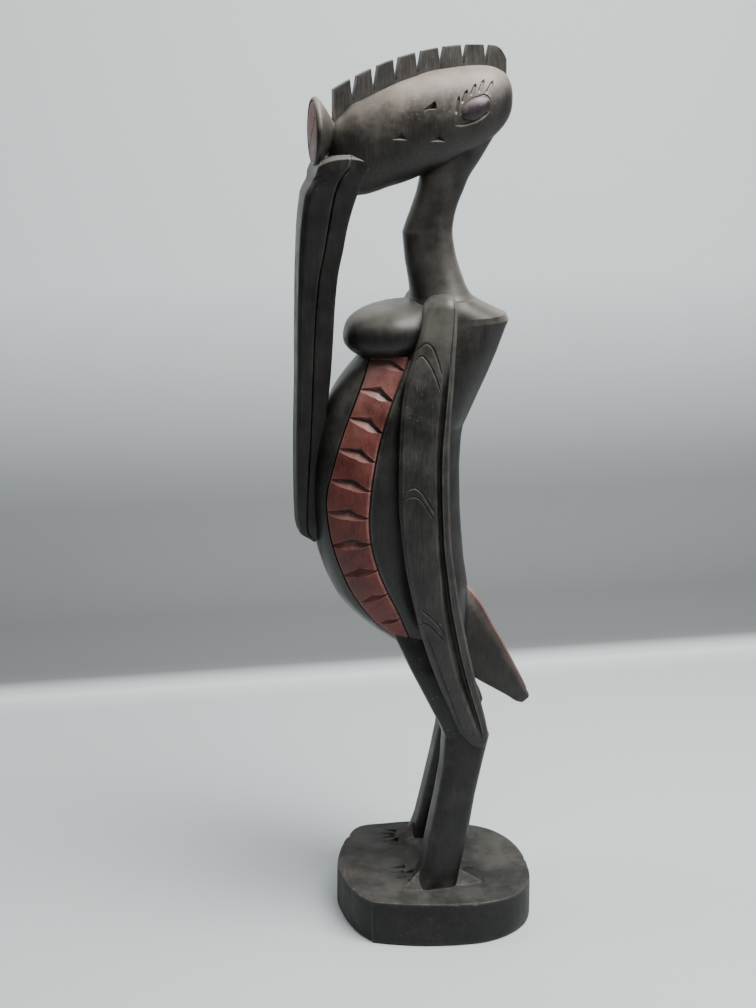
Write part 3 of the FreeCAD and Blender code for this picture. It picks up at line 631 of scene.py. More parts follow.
# ---------------------------------------------------------------- belly scales
# A red strip let into each side of the belly. Slanting knife cuts shaped like a shallow roof
# part it into scales, and a thin dark gap is left along both its edges.
red_wood = stained_wood("red stained wood", (0.088, 0.018, 0.014), (0.180, 0.045, 0.034),
                        (0.33, 0.185, 0.16), dust_and_top_light_amount=0.7, wear=0.8, gloss=0.44, specks=0.2)
strip_levels = np.arange(227.0, 466.0, 1.3)
scale_cutter = shape(
    "scale cutter",
    [(-1.14, 0, -4.6), (-0.5, 3.2, -0.8), (0.14, 6.6, 0.6), (0.55, 2.4, -0.6), (1.12, -2.2, -4.8),
     (0.5, -4.2, -0.6), (0.05, -4.4, 0.6), (-0.5, -3.0, -0.7),
     (-0.5, 1.7, -3.5), (0.12, 3.4, -3.7), (0.52, 0.6, -3.6),
     (-1.14, 0, 6), (-0.5, 3.2, 6), (0.14, 6.6, 6), (0.55, 2.4, 6), (1.12, -2.2, 6),
     (0.5, -4.2, 6), (0.05, -4.4, 6), (-0.5, -3.0, 6)],
    [(0, 1, 8), (1, 2, 9, 8), (2, 3, 10, 9), (3, 4, 10), (4, 5, 10), (5, 6, 9, 10),
     (6, 7, 8, 9), (7, 0, 8), (11, 12, 1, 0), (12, 13, 2, 1), (13, 14, 3, 2), (14, 15, 4, 3),
     (15, 16, 5, 4), (16, 17, 6, 5), (17, 18, 7, 6), (18, 11, 0, 7),
     (11, 18, 17, 16, 15, 14, 13, 12)])
for side_name, side in (("left", 1), ("right", -1)):
    rows = []
    middle_line = []
    middle_out = []
    middle_reach = []
    for level in strip_levels:
        row_front = smooth(level, BODY_LEVELS, BODY_FRONTS)
        row_half = smooth(level, BODY_LEVELS, BODY_HALVES)
        row_back = np.interp(level, BACK_LEVELS, BACK_LINE)
        start = body_turn(smooth(level, BED_LEVELS, BED_FRONTS), row_front, row_back)
        stop = body_turn(smooth(level, BED_LEVELS, BED_BACKS), row_front, row_back)
        gap = 1.3 / row_half
        turn = np.linspace(start + gap, stop - gap, 34)
        across, along = body_section(turn, row_front, row_back, row_half)
        out_x, out_y = outward_from(across, along)
        edge = np.minimum(np.arange(34), np.arange(34)[::-1]) * (stop - start) / 33 * row_half
        proud = 0.5 - 1.2 * np.clip(1 - edge / 1.6, 0, 1) ** 2
        outer = np.column_stack([across + out_x * proud, along + out_y * proud])
        inner = np.column_stack([across - out_x * 3.0, along - out_y * 3.0])[::-1]
        loop = np.concatenate([outer, inner])
        rows.append(np.column_stack([side * loop[:, 0], loop[:, 1], np.full(len(loop), level)]))
        middle_line.append((side * outer[17, 0], outer[17, 1], level))
        middle_out.append((side * out_x[17], out_y[17], 0))
        width = np.hypot(outer[-1, 0] - outer[0, 0], outer[-1, 1] - outer[0, 1])
        shallow = ease(level, 262, 322)
        middle_reach.append((width / 2, 0.45 + 0.55 * shallow, 0.62 + 0.38 * shallow))
    strip = closed_skin(f"scales_{side_name}", rows)
    middle_line = np.array(middle_line)
    middle_out = np.array(middle_out)
    rise = np.gradient(middle_line, axis=0)
    rise /= np.linalg.norm(rise, axis=1)[:, None]
    middle_out -= rise * np.sum(rise * middle_out, 1)[:, None]
    used = slice(22, 180)
    path = guide("scale line", middle_line[used], middle_out[used], np.array(middle_reach)[used])
    worked(strip, repeated_cuts, red_wood, path, Line=path, Cutter=scale_cutter, Count=10,
           Unevenness=0.07, Seed=5)
    finished(strip, red_wood, "red_stain", f"belly_panel_{side_name}", crease=24)
bpy.data.objects.remove(scale_cutter)

# ---------------------------------------------------------------- chest
# A pillow-shaped breast that swells out over the top of the scales. It is carved in one with the
# body, so its rear end just runs into the torso.


def rounded(turns, power, other_power):
    """Unit section between a circle and a square: the higher the power, the squarer."""
    across, other = np.cos(turns), np.sin(turns)
    return (np.sign(across) * np.abs(across) ** (2 / power),
            np.sign(other) * np.abs(other) ** (2 / other_power))


CHEST_PLACES = [-74.8, -73.8, -72, -69.5, -65.5, -60, -52, -43, -35, -26, -16, -4, 6]
CHEST_TOPS = [475, 479.5, 484.5, 488.5, 492.2, 495.3, 498.5, 500.8, 502.2, 503, 503, 501, 496]
CHEST_LOWS = [475, 470.5, 467.5, 465, 462.5, 460.5, 459, 458, 457.5, 457.5, 458, 460, 464]
CHEST_HALVES = [1.5, 9, 16, 22.5, 28.5, 34, 39, 42, 42, 40.5, 36, 28, 20]
places = np.concatenate([-74.8 + 5.3 * np.linspace(0, 1, 12) ** 2, np.linspace(-69, 6, 66)])
chest_turns = full_turn(180)
tops = smooth(places, CHEST_PLACES, CHEST_TOPS)
lows = smooth(places, CHEST_PLACES, CHEST_LOWS)
halves = smooth(places, CHEST_PLACES, CHEST_HALVES)
rings = stacked(places, halves, lows, tops, *rounded(chest_turns, 2.3, 2.3), upright=False)
chest = closed_skin("breast", rings)
finished(chest, black_wood, "dark_wood", "chest")

# ---------------------------------------------------------------- wings
# Long blades of the same wood that lie along the body from the shoulder to the knee, with a raised
# rim down the rear edge and a channel beside it. Three feather ends and a line down to the tip are
# scribed in with a round gouge.
WING_LEVELS = [150.5, 152, 155, 159, 172, 188, 205, 219, 234, 250, 272, 293, 319, 345, 375, 409,
               444, 464, 477, 488, 497, 504, 508, 510.2, 510.8]
WING_FRONTS = [22, 18.5, 14.5, 11, 5, -1.8, -9, -14.3, -19.5, -24.4, -29.5, -34.3, -38.2, -41, -41.5,
               -40.2, -35.8, -30, -26, -22.6, -20, -16.3, -12.5, -7, -3]
WING_BACKS = [24, 26.5, 28.8, 30.2, 28.6, 24.6, 20.2, 16.6, 13, 9.5, 5, 1.6, -2, -3.6, -4.2, -3.6, -0.8,
              0.6, 1.6, 2.4, 3, 3, 2.4, 0.6, -0.8]
WING_CUTS = [150, 200, 240, 270, 300, 335, 385, 420, 470]
RIM_WIDE = [6.5, 7, 7, 6.8, 6, 5.6, 5.8, 4.4, 4]
CHANNEL_WIDE = [13, 15, 15.5, 14, 11.8, 10.6, 10.4, 10, 9.5]


def wing_height(level, behind, width):
    """How far out the wing's face stands, at a distance in front of its rear edge."""
    fit = np.minimum(width / 30.0, 1.0)
    place = behind / np.maximum(fit, 0.05)
    share = behind / np.maximum(width, 1)
    rim = np.interp(level, WING_CUTS, RIM_WIDE)
    face = np.interp(level, WING_CUTS, CHANNEL_WIDE)
    bow = 61.0 - (level - 301.0) ** 2 / np.where(level > 301, 3600.0, 4200.0)
    channel = (1 - ease(level, 436, 468)) * ease(level, 154, 180)
    wall = np.clip((place - rim) / 0.9, 0, 1)
    rise = 1 - ease(place, rim + 1.6, face + 0.6)
    dip = -4.4 * wall * rise * channel
    crease = -0.9 * np.clip(1 - np.abs(place - rim) / 0.8, 0, 1) * ease(level, 440, 468)
    rear = -1.5 * np.clip(1 - place / 1.6, 0, 1)
    crown = -5.5 * np.clip((share - face / 34.0) / (1 - face / 34.0), 0, 1) ** 1.5
    front_edge = -2.2 * np.clip(1 - (width - behind) / 2.0, 0, 1)
    shoulder = -5.0 * ease(level, 478, 512) * np.abs(share - 0.36) ** 2 / 0.25
    return (bow + (dip + crease + crown + rear + front_edge) * fit + shoulder)


def wing_point(along, level):
    """Point of the left wing's face and its outward direction."""
    front = smooth(level, WING_LEVELS, WING_FRONTS)
    back = smooth(level, WING_LEVELS, WING_BACKS)
    x = wing_height(level, back - along, back - front)
    slope_y = wing_height(level, back - along - 0.3, back - front) - x
    out = Vector((1.0, -slope_y / 0.3, 0.0)).normalized()
    return (float(x), along, level), (out.x, out.y, 0.05)


def groove_tree():
    """Tree that runs a round gouge along lines and cuts its path out of the wood."""
    tree, given = wood_tree("scribed grooves", ("Lines", "Object"), ("Width", "Float"))
    lines = node(tree, "GeometryNodeObjectInfo", [("Object", given["Lines"])])
    curve = node(tree, "GeometryNodeMeshToCurve", [("Mesh", lines.outputs["Geometry"])])
    size = node(tree, "GeometryNodeInputNamedAttribute", [("Name", "reach")],
                data_type="FLOAT_VECTOR")
    part = node(tree, "ShaderNodeSeparateXYZ", [("Vector", size.outputs[0])])
    sized = node(tree, "GeometryNodeSetCurveRadius", [("Curve", curve.outputs["Curve"]),
                 ("Radius", part.outputs["X"])])
    gouge_end = node(tree, "GeometryNodeCurvePrimitiveCircle", [("Resolution", 10),
                     ("Radius", worked_out(tree, "MULTIPLY", given["Width"], 0.5))])
    swept = node(tree, "GeometryNodeCurveToMesh", [("Curve", sized.outputs["Curve"]),
                 ("Profile Curve", gouge_end.outputs["Curve"]), ("Fill Caps", True)])
    if "Scale" in swept.inputs:
        tree.links.new(part.outputs["X"], swept.inputs["Scale"])
    return cut_away(tree, given, swept.outputs["Mesh"])


def scribed(point_on, knots, count, depth=0.0, mirror=1):
    """Points of a line that lies on a carved face, through given places."""
    knots = np.asarray(knots, float)
    travel = np.concatenate([[0], np.cumsum(np.hypot(*np.diff(knots, axis=0).T))])
    where = np.linspace(0, travel[-1], count)
    alongs = smooth(where, travel, knots[:, 0])
    heights = smooth(where, travel, knots[:, 1])
    points = []
    for along, height in zip(alongs, heights):
        (x, y, z), out = point_on(along, height)
        points.append((mirror * (x - depth * out[0]), y - depth * out[1], z - depth * out[2]))
    taper = np.clip(4.5 * np.minimum(np.linspace(0, 1, count), np.linspace(1, 0, count)) + 0.25,
                    0.25, 1)
    return points, [(size, 1, 1) for size in taper]


scribed_grooves = groove_tree()
# a lighter base than the body's same wood, which is painted sheen, with dust and painted top light and
# a painted highlight from the shoulders upwards
wing_wood = stained_wood("rubbed black wood with painted sheen", (0.0145, 0.0138, 0.0125), (0.052, 0.049, 0.044),
                         (0.145, 0.135, 0.115), dust_and_top_light_amount=0.85, wear=1.0, gloss=0.37,
                         shoulder_highlight=0.55)
FEATHER_LINES = [
    [(-31.8, 462), (-29.3, 469), (-24.3, 475), (-20.5, 477.3), (-17.3, 475), (-14.1, 468.4),
     (-11.5, 459.6), (-9.5, 450.7)],
    [(-30.5, 460), (-28, 465), (-24.4, 468), (-21, 464.9), (-17.2, 458.5), (-13.3, 448.3),
     (-10.8, 439)],
    [(-40, 359), (-35.7, 367), (-30.6, 368.5), (-26.1, 365.4), (-21.5, 358.7), (-14.5, 346.5)],
    [(-40, 353), (-38.3, 359), (-34.4, 361.3), (-30.5, 361.7), (-26.7, 359.6), (-22.1, 353.4),
     (-15.3, 341.5)],
    [(-28, 268), (-26.2, 271), (-22.2, 268.4), (-16.6, 263.3), (-11.4, 257.7), (-4.5, 245.5)],
    [(-26.5, 257), (-22.8, 259.7), (-18.8, 257.6), (-14.2, 253.2), (-6.2, 243.9)],
    [(-22.7, 259), (-20.4, 250.1), (-15.2, 234.5), (-10.5, 221.1), (-3.4, 201.5), (4.9, 179.2),
     (10.9, 164.2), (14.4, 157.8)],
]
wing_levels = np.concatenate([
    150.5 + 8 * np.linspace(0, 1, 22) ** 1.6, np.arange(159.5, 498.0, 1.6),
    510.8 - 13 * np.linspace(1, 0, 30) ** 1.6])
for side_name, side in (("left", 1), ("right", -1)):
    rows = []
    for level in wing_levels:
        front = smooth(level, WING_LEVELS, WING_FRONTS)
        back = smooth(level, WING_LEVELS, WING_BACKS)
        width = max(back - front, 0.6)
        fit = min(width / 30.0, 1.0)
        rim = np.interp(level, WING_CUTS, RIM_WIDE)
        face = np.interp(level, WING_CUTS, CHANNEL_WIDE)
        behind = np.concatenate([
            np.array([0, 0.5, 1.0, 1.6]) * fit, np.linspace(2.4, rim - 0.9, 4) * fit,
            (rim + np.array([-0.05, 0.3, 0.6, 0.95])) * fit,
            np.linspace(rim + 1.6, face + 0.6, 12) * fit,
            np.linspace((face + 1.4) * fit, width - 2.7 * fit, 24),
            width - np.array([2.0, 1.4, 0.7, 0]) * fit])
        outer_x = wing_height(level, behind, width)
        thick = 7.0 + 19.0 * ease(level, 200, 300)
        end = np.clip(np.minimum((level - 150.5) / 9, (510.8 - level) / 9), 0, 1)
        round_end = np.sqrt(1 - (1 - end) ** 2)
        middle_x = outer_x.mean() - thick / 2
        outer_x = middle_x + (outer_x - middle_x) * (0.25 + 0.75 * round_end)
        inner_x = np.full(12, middle_x - thick / 2 * (0.25 + 0.75 * round_end))
        inner_behind = np.linspace(width - 1.2 * fit, 1.2 * fit, 12)
        x = np.concatenate([outer_x, inner_x])
        y = back - np.concatenate([behind, inner_behind])
        rows.append(np.column_stack([side * x, y, np.full(len(x), level)]))
    wing = closed_skin(f"wing_{side_name}_carved", rows)
    lines = []
    sizes = []
    joined = []
    for knots in FEATHER_LINES:
        points, reach_out = scribed(wing_point, knots, 40, depth=-0.25, mirror=side)
        joined += [(len(lines) + i, len(lines) + i + 1) for i in range(len(points) - 1)]
        lines += points
        sizes += reach_out
    feathers = guide("feather lines", lines, (1, 0, 0), sizes, joined)
    worked(wing, scribed_grooves, wing_wood, feathers, Lines=feathers, Width=2.2 * MM)
    finished(wing, wing_wood, "dark_wood", f"wing_{side_name}", crease=28)

# ---------------------------------------------------------------- tail
# A wedge that drops behind the legs, hewn from the same wood as the body and running into it. A
# strip down its crowned back is stained red and nicked across with a knife.
TAIL_SHARES = [0.0, 0.12, 0.3, 0.5, 0.7, 0.85, 0.93, 0.98, 1.0]
TAIL_TOP = [(6, 291), (18.5, 277), (32, 260.5), (46.2, 235), (61.3, 207), (71.6, 187),
            (76, 177.5), (77.6, 173), (76.6, 170.5)]
TAIL_LOW = [(2, 215), (8, 209), (18, 203.2), (32, 193.2), (46, 184.2), (58, 176.2), (66, 170.4),
            (72, 168.6), (74.6, 169.2)]
TAIL_HALVES = [17.5, 17.3, 17, 16.5, 15.5, 13.5, 11.5, 8.5, 5]


def tail_line(share, line):
    """Place on the tail's top or low line, at a share of its length."""
    return tuple(smooth(share, TAIL_SHARES, [point[axis] for point in line]) for axis in (0, 1))


shares = np.concatenate([np.linspace(0, 0.9, 90), 0.9 + 0.1 * np.linspace(0, 1, 22)[1:] ** 0.6])
top_y, top_z = tail_line(shares, TAIL_TOP)
low_y, low_z = tail_line(shares, TAIL_LOW)
tail_half = smooth(shares, TAIL_SHARES, TAIL_HALVES)
tail_turns = full_turn(128)
tail_facets = [(0, 1.0), (180, 1.0), (90, 1.0), (270, 1.0), (52, 1.12), (128, 1.12)]
unit_x, unit_z = hewn(tail_turns, tail_facets, 18)
rings = np.zeros((len(shares), len(tail_turns), 3))
up_share = (unit_z + 1) / 2
rings[:, :, 0] = tail_half[:, None] * unit_x
rings[:, :, 1] = low_y[:, None] + (top_y - low_y)[:, None] * up_share
rings[:, :, 2] = low_z[:, None] + (top_z - low_z)[:, None] * up_share
tail = closed_skin("tail_carved", rings)
tail_wood = stained_wood("worn tail wood", (0.0095, 0.0085, 0.0075), (0.036, 0.031, 0.027),
                         (0.15, 0.125, 0.10), dust_and_top_light_amount=0.6, wear=0.9, gloss=0.46)
finished(tail, tail_wood, "dark_wood", "tail")

strip_shares = np.linspace(0.16, 0.925, 74)
rows = []
for share in strip_shares:
    y, z = tail_line(share, TAIL_TOP)
    half = 0.62 * smooth(share, TAIL_SHARES, TAIL_HALVES)
    half *= math.sqrt(max(1 - ((share - 0.5425) / 0.3975) ** 6, 0.05))
    bend = np.linspace(-1, 1, 25)
    lift = 1.6 * (1 - np.abs(bend) ** 2.5) - 0.7
    loop_x = np.concatenate([bend * half, bend[::-1] * half * 0.95])
    loop_up = np.concatenate([lift, np.full(25, -3.0)])
    rows.append(np.column_stack([loop_x, y + loop_up * 0.88, z + loop_up * 0.47]))
tail_strip = closed_skin("tail_red_strip", rows)
KNIFE_FACES = [(0, 1, 2, 3), (0, 4, 5, 1), (3, 2, 5, 4), (0, 3, 4), (1, 5, 2)]
nick_cutter = shape("nick", [(-9, -1.1, 2.5), (9, -1.1, 2.5), (9, 1.1, 2.5), (-9, 1.1, 2.5),
                             (-7, 0, -0.9), (7, 0, -0.9)], KNIFE_FACES)
nick_shares = np.linspace(0.22, 0.87, 12)
nick_y, nick_z = tail_line(nick_shares, TAIL_TOP)
nick_line = np.column_stack([np.zeros(len(nick_shares)), nick_y + 0.5, nick_z + 0.3])
nick_path = guide("nick line", nick_line, (0, 0.88, 0.47), (1, 1, 1))
worked(tail_strip, repeated_cuts, red_wood, nick_path, Line=nick_path, Cutter=nick_cutter,
       Count=7, Unevenness=0.3, Seed=2)
bpy.data.objects.remove(nick_cutter)
finished(tail_strip, red_wood, "red_stain", "tail_paint", crease=24)

# ---------------------------------------------------------------- neck
# An S from the shoulders to the head, with a blunt edge in front where it turns. Carved in one
# with both, so its ends are sunk in the torso and in the head.
NECK_LEVELS = [494, 500, 505, 512, 521, 533, 545, 554, 561.5, 573.5, 585, 595.5, 607, 617, 629,
               638]
NECK_FRONTS = [-26, -24, -22.8, -23.2, -24.6, -26.8, -28.2, -28.9, -26.4, -21.8, -18, -15.8, -8,
               0, 8, 14]
NECK_BACKS = [46, 34, 25.8, 20.8, 17.2, 13.1, 10.4, 9.4, 10, 12.7, 17.3, 21.8, 29.4, 35.5, 42.4,
              45]
NECK_HALVES = [34, 28, 24.5, 21.5, 19.3, 17.6, 16.8, 16.6, 16.6, 16.7, 17, 17.3, 17.8, 18.2, 18.5,
               18]
levels = np.arange(494.0, 638.0, 1.0)
neck_turns = full_turn(144)
fronts = np.interp(levels, NECK_LEVELS, NECK_FRONTS)
backs = smooth(levels, NECK_LEVELS, NECK_BACKS)
halves = smooth(levels, NECK_LEVELS, NECK_HALVES)
neck = closed_skin("neck_carved", stacked(levels, halves, fronts, backs,
                                          *rounded(neck_turns, 2.25, 2.1)))
finished(neck, body_wood, "dark_wood", "neck")

# ---------------------------------------------------------------- head
# A long smooth head in the same wood, dusty above and lighter there with painted top light. Lashes and
# lid lines are cut round each eye with a gouge, and a three-cornered nostril and two nicks of a mouth
# with a knife.
HEAD_PLACES = [-86, -82, -76, -70, -60, -50, -40, -34, -22, -15, -2, 4, 14, 23, 32, 37.5, 43, 47.2,
               50.5, 52.5, 53.5]
HEAD_TOPS = [630, 637, 643, 649, 653.5, 658, 662.5, 665, 669, 671.5, 674.3, 675, 676.3, 677, 676.8,
             676, 674, 671.5, 667, 661, 652]
HEAD_LOWS = [606, 596, 588, 583.4, 582.6, 585, 588.4, 590, 594, 597, 601, 603.5, 608, 612, 618, 622.5,
             627.5, 632, 637, 642.5, 649]
HEAD_HALVES = [8, 12, 16, 19, 22.5, 25, 27, 28, 29.8, 30.3, 30.8, 30.8, 30.3, 29.3, 27.6, 25.6,
               22.6, 19, 14.6, 9.5, 3]
HEAD_ROUNDNESS = 2.15


def head_point(along, level):
    """Point of the head's left face and its outward direction."""
    def reach_at(y, z):
        top = smooth(y, HEAD_PLACES, HEAD_TOPS)
        low = smooth(y, HEAD_PLACES, HEAD_LOWS)
        half = smooth(y, HEAD_PLACES, HEAD_HALVES)
        rise = np.clip(np.abs((z - (top + low) / 2) / ((top - low) / 2)), 0, 0.999)
        return half * (1 - rise ** HEAD_ROUNDNESS) ** (1 / HEAD_ROUNDNESS)
    x = reach_at(along, level)
    out = Vector((1.0, -(reach_at(along + 0.3, level) - x) / 0.3,
                  -(reach_at(along, level + 0.3) - x) / 0.3)).normalized()
    return (float(x), along, level), tuple(out)


places = np.concatenate([np.linspace(-86, -70, 14)[:-1], np.linspace(-70, 46, 100),
                         46 + 7.5 * np.sin(np.linspace(0, math.pi / 2, 18))[1:]])
head_turns = full_turn(200)
tops = smooth(places, HEAD_PLACES, HEAD_TOPS)
lows = smooth(places, HEAD_PLACES, HEAD_LOWS)
halves = smooth(places, HEAD_PLACES, HEAD_HALVES)
section = rounded(head_turns, HEAD_ROUNDNESS, HEAD_ROUNDNESS)
head = closed_skin("head_carved", stacked(places, halves, lows, tops, *section, upright=False))
# strong dust and painted top light: what faces up is much lighter, as if lit from above, and the
# underside stays dark
brown_wood = stained_wood("rubbed brown wood", (0.011, 0.0098, 0.0085), (0.038, 0.033, 0.028),
                          (0.27, 0.228, 0.190), dust_and_top_light_amount=0.95, wear=0.6, gloss=0.42)
seated_cuts = cut_tree("seated cuts", along_line=False)
LASHES = [[(6.9, 655.4), (4.2, 642)], [(13.3, 659.8), (8.6, 650)], [(20.4, 664), (15.7, 655.4)],
          [(27, 667), (21.8, 657.4)], [(34, 666), (27.2, 656.6)]]
LID_LINES = [
    ([(6.9, 641.5), (8.5, 643.8), (11.7, 648), (15.4, 652), (19.1, 654.1), (23.4, 655.3),
      (25.6, 656.2), (28.6, 654.9), (31.5, 650.5)], 1.9),
    ([(3.8, 634.6), (6.6, 634.8), (11, 635.2), (15.6, 636.3), (21.3, 638.3), (26, 641.2),
      (30.5, 645)], 2.7),
]
CORNER_FACES = [(0, 1, 2), (0, 3, 4, 1), (1, 4, 5, 2), (2, 5, 3, 0), (3, 6, 4), (4, 6, 5),
                (5, 6, 3)]
mouth_nick = shape("mouth nick", [(-6.5, 0, 3), (6.5, -0.4, 3), (1.5, 7.5, 3), (-6.0, 0, 0),
                                  (6.0, -0.4, 0), (1.5, 6.0, 0), (0.5, 0.9, -3.0)], CORNER_FACES)
nostril = shape("nostril", [(-6.3, -3.2, 3), (6.3, -2.2, 3), (5.2, 5.6, 3), (-5.6, -2.7, 0),
                            (5.6, -1.8, 0), (4.6, 4.6, 0), (2.4, -0.6, -4.2)], CORNER_FACES)
for side in (1, -1):
    for knots, width in [(knots, 2.7) for knots in LASHES] + LID_LINES:
        points, reach_out = scribed(head_point, knots, 24, depth=-0.05, mirror=side)
        line = guide("head line", points, (1, 0, 0), reach_out)
        worked(head, scribed_grooves, brown_wood, line, Lines=line, Width=width * MM)
    for cutter, ends in ((mouth_nick, [(-37, 624.6), (-8.5, 623.0)]),
                         (nostril, [(-15.2, 648.0), (-15.2, 648.4)])):
        spots = [head_point(y, z) for y, z in ends]
        points = [(x * side, y, z) for (x, y, z), out in spots]
        outs = [(out[0] * side, out[1], out[2]) for place, out in spots]
        line = guide("nick line", points, outs, (1, 1, 1))
        worked(head, seated_cuts, brown_wood, line, Line=line, Cutter=cutter,
               Count=2 if cutter is mouth_nick else 1, Unevenness=0.0, Seed=1)
for cutter in (mouth_nick, nostril):
    bpy.data.objects.remove(cutter)
finished(head, brown_wood, "dark_wood", "head", crease=34)

# ---------------------------------------------------------------- eyes
# Low almond domes that swell out between the lids, left standing in the same wood as the head
# and rubbed smooth. Each is sunk a little into the head's side.
eye_wood = stained_wood("eye wood", (0.012, 0.009, 0.0095), (0.034, 0.026, 0.027),
                        (0.20, 0.150, 0.152), dust_and_top_light_amount=0.75, wear=0.3, gloss=0.32, specks=0.1)
EYE_PLACE = (19.3, 646.4)
EYE_TILT = math.radians(30)
EYE_HALF_LENGTH = 12.4
EYE_HALF_HEIGHT = 7.4
EYE_SWELL = 4.6
EYE_SUNK = 1.2
for side_name, side in (("left", 1), ("right", -1)):
    place, out = head_point(*EYE_PLACE)
    outward = Vector(out)
    along = Vector((0, math.cos(EYE_TILT), math.sin(EYE_TILT)))
    along = (along - outward * along.dot(outward)).normalized()
    over = outward.cross(along)
    turn = full_turn(96)
    rows = []
    for latitude in np.linspace(-1.45, 1.5, 40):
        ring = math.cos(latitude)
        pinch = 1 - 0.30 * np.abs(np.cos(turn)) ** 3
        points = []
        for angle, narrow in zip(turn, pinch):
            spot = (Vector(place) + along * (EYE_HALF_LENGTH * ring * math.cos(angle))
                    + over * (EYE_HALF_HEIGHT * ring * narrow * math.sin(angle))
                    + outward * (EYE_SWELL * math.sin(latitude) - EYE_SUNK))
            points.append((spot.x * side, spot.y, spot.z))
        rows.append(points)
    eye = closed_skin(f"eye_{side_name}_dome", rows)
    finished(eye, eye_wood, "dark_wood", f"eye_{side_name}")

# ---------------------------------------------------------------- comb
# A plate left standing along the top of the head, sawn and pared into eight square teeth. It is
# one with the head and has less dust and painted top light on it.


def comb_top(along):
    """Height of the comb's upper edge."""
    return 691.3 - 0.00275 * (along - 25.0) ** 2


places = np.concatenate([np.linspace(-82, 40, 140), 40 + 8.6 * np.sin(
    np.linspace(0, math.pi / 2, 16))[1:]])
rows = []
for along in places:
    top = comb_top(along) - 9.0 * np.clip((along - 38) / 10.6, 0, 1) ** 2.6
    low = smooth(along, HEAD_PLACES, HEAD_TOPS) - 9.0 - 14.0 * (1 - ease(along, -82, -66))
    rise = np.linspace(0, 1, 26)
    half = 6.1 - 1.5 * rise
    heights = low + (top - low) * rise
    crown = np.linspace(1, -1, 9)[1:-1]
    x = np.concatenate([half, 4.6 * np.sign(crown) * np.abs(crown) ** 0.9, -half[::-1]])
    z = np.concatenate([heights, top + 0.35 * (1 - crown ** 2), heights[::-1]])
    rows.append(np.column_stack([x, np.full(len(x), along), z]))
comb = closed_skin("comb_carved", rows)
notch = shape("notch cutter", [(-8, -2.3, 1.5), (8, -2.3, 1.5), (8, 3.2, 1.5), (-8, 3.2, 1.5),
                               (-8, -0.6, -14.5), (8, -0.6, -14.5), (8, 0.3, -15.0),
                               (-8, 0.3, -15.0)],
              [(0, 1, 2, 3), (0, 4, 5, 1), (1, 5, 6, 2), (2, 6, 7, 3), (3, 7, 4, 0),
               (4, 7, 6, 5)])
notch_places = np.linspace(-67.6, 33.2, 60)
notch_line = [(0.0, along, float(comb_top(along))) for along in notch_places]
deep = [(1, 1, float((comb_top(a) - smooth(a, HEAD_PLACES, HEAD_TOPS) - 1.5) / 15.0))
        for a in notch_places]
notch_path = guide("notch line", notch_line, (0, 0, 1), deep)
comb_wood = stained_wood("comb wood", (0.022, 0.020, 0.018), (0.078, 0.070, 0.061),
                         (0.15, 0.135, 0.115), dust_and_top_light_amount=0.5, wear=0.9, gloss=0.45)
worked(comb, repeated_cuts, comb_wood, notch_path, Line=notch_path, Cutter=notch, Count=7,
       Unevenness=0.02, Seed=4)
bpy.data.objects.remove(notch)
finished(comb, comb_wood, "dark_wood", "comb", crease=24)

# ---------------------------------------------------------------- snout
# A trumpet carved round out of the front of the head, thin at its rim. The flat face inside the
# rim is stained red and has one slanting slit.
SNOUT_AXIS = 629.0
PROFILE = [(-76, 7.0), (-79, 7.2), (-81.3, 8.0), (-83.2, 10.0), (-85.2, 13.2), (-87.4, 16.8),
           (-89.4, 19.6), (-91.4, 22.4), (-93.2, 24.4), (-94.6, 25.3), (-96.2, 25.1),
           (-97.3, 24.2), (-97.7, 23.4), (-97.2, 22.7), (-96.4, 22.1)]
travel = np.linspace(0, len(PROFILE) - 1, 60)
turned_y = smooth(travel, range(len(PROFILE)), [p[0] for p in PROFILE])
turned_r = smooth(travel, range(len(PROFILE)), [p[1] for p in PROFILE])
spin = full_turn(160)
rows = [np.column_stack([radius * np.cos(spin), np.full(len(spin), y),
                         SNOUT_AXIS + radius * np.sin(spin) * (1.0 + 0.02 * np.sin(spin))])
        for y, radius in zip(turned_y, turned_r)]
snout = closed_skin("snout_trumpet", rows)
finished(snout, brown_wood, "dark_wood", "snout")

DISC_PROFILE = [(-94.5, 22.4), (-96.5, 22.4), (-97.2, 21.9), (-97.5, 20.8), (-97.6, 15.0),
                (-97.6, 9.0), (-97.6, 4.0)]
rows = [np.column_stack([radius * np.cos(spin), np.full(len(spin), y),
                         SNOUT_AXIS + radius * np.sin(spin)]) for y, radius in DISC_PROFILE]
snout_disc = closed_skin("snout_red_face", rows)
slant = math.radians(41)
slit_ends = [(-20, -1.5, 2), (20, -1.5, 2), (20, 1.5, 2), (-20, 1.5, 2), (-18, 0, -2.4),
             (18, 0, -2.4)]
slit_cutter = shape("slit cutter", [(x * math.cos(slant) - y * math.sin(slant),
                                     x * math.sin(slant) + y * math.cos(slant), z)
                                    for x, y, z in slit_ends], KNIFE_FACES)
slit_line = guide("slit line", [(0, -97.6, SNOUT_AXIS - 0.2), (0, -97.6, SNOUT_AXIS + 0.2)],
                  (0, -1, 0), (1, 1, 1))
worked(snout_disc, repeated_cuts, red_wood, slit_line, Line=slit_line, Cutter=slit_cutter,
       Count=1, Unevenness=0.0, Seed=1)
bpy.data.objects.remove(slit_cutter)
finished(snout_disc, red_wood, "red_stain", "snout_face", crease=24)

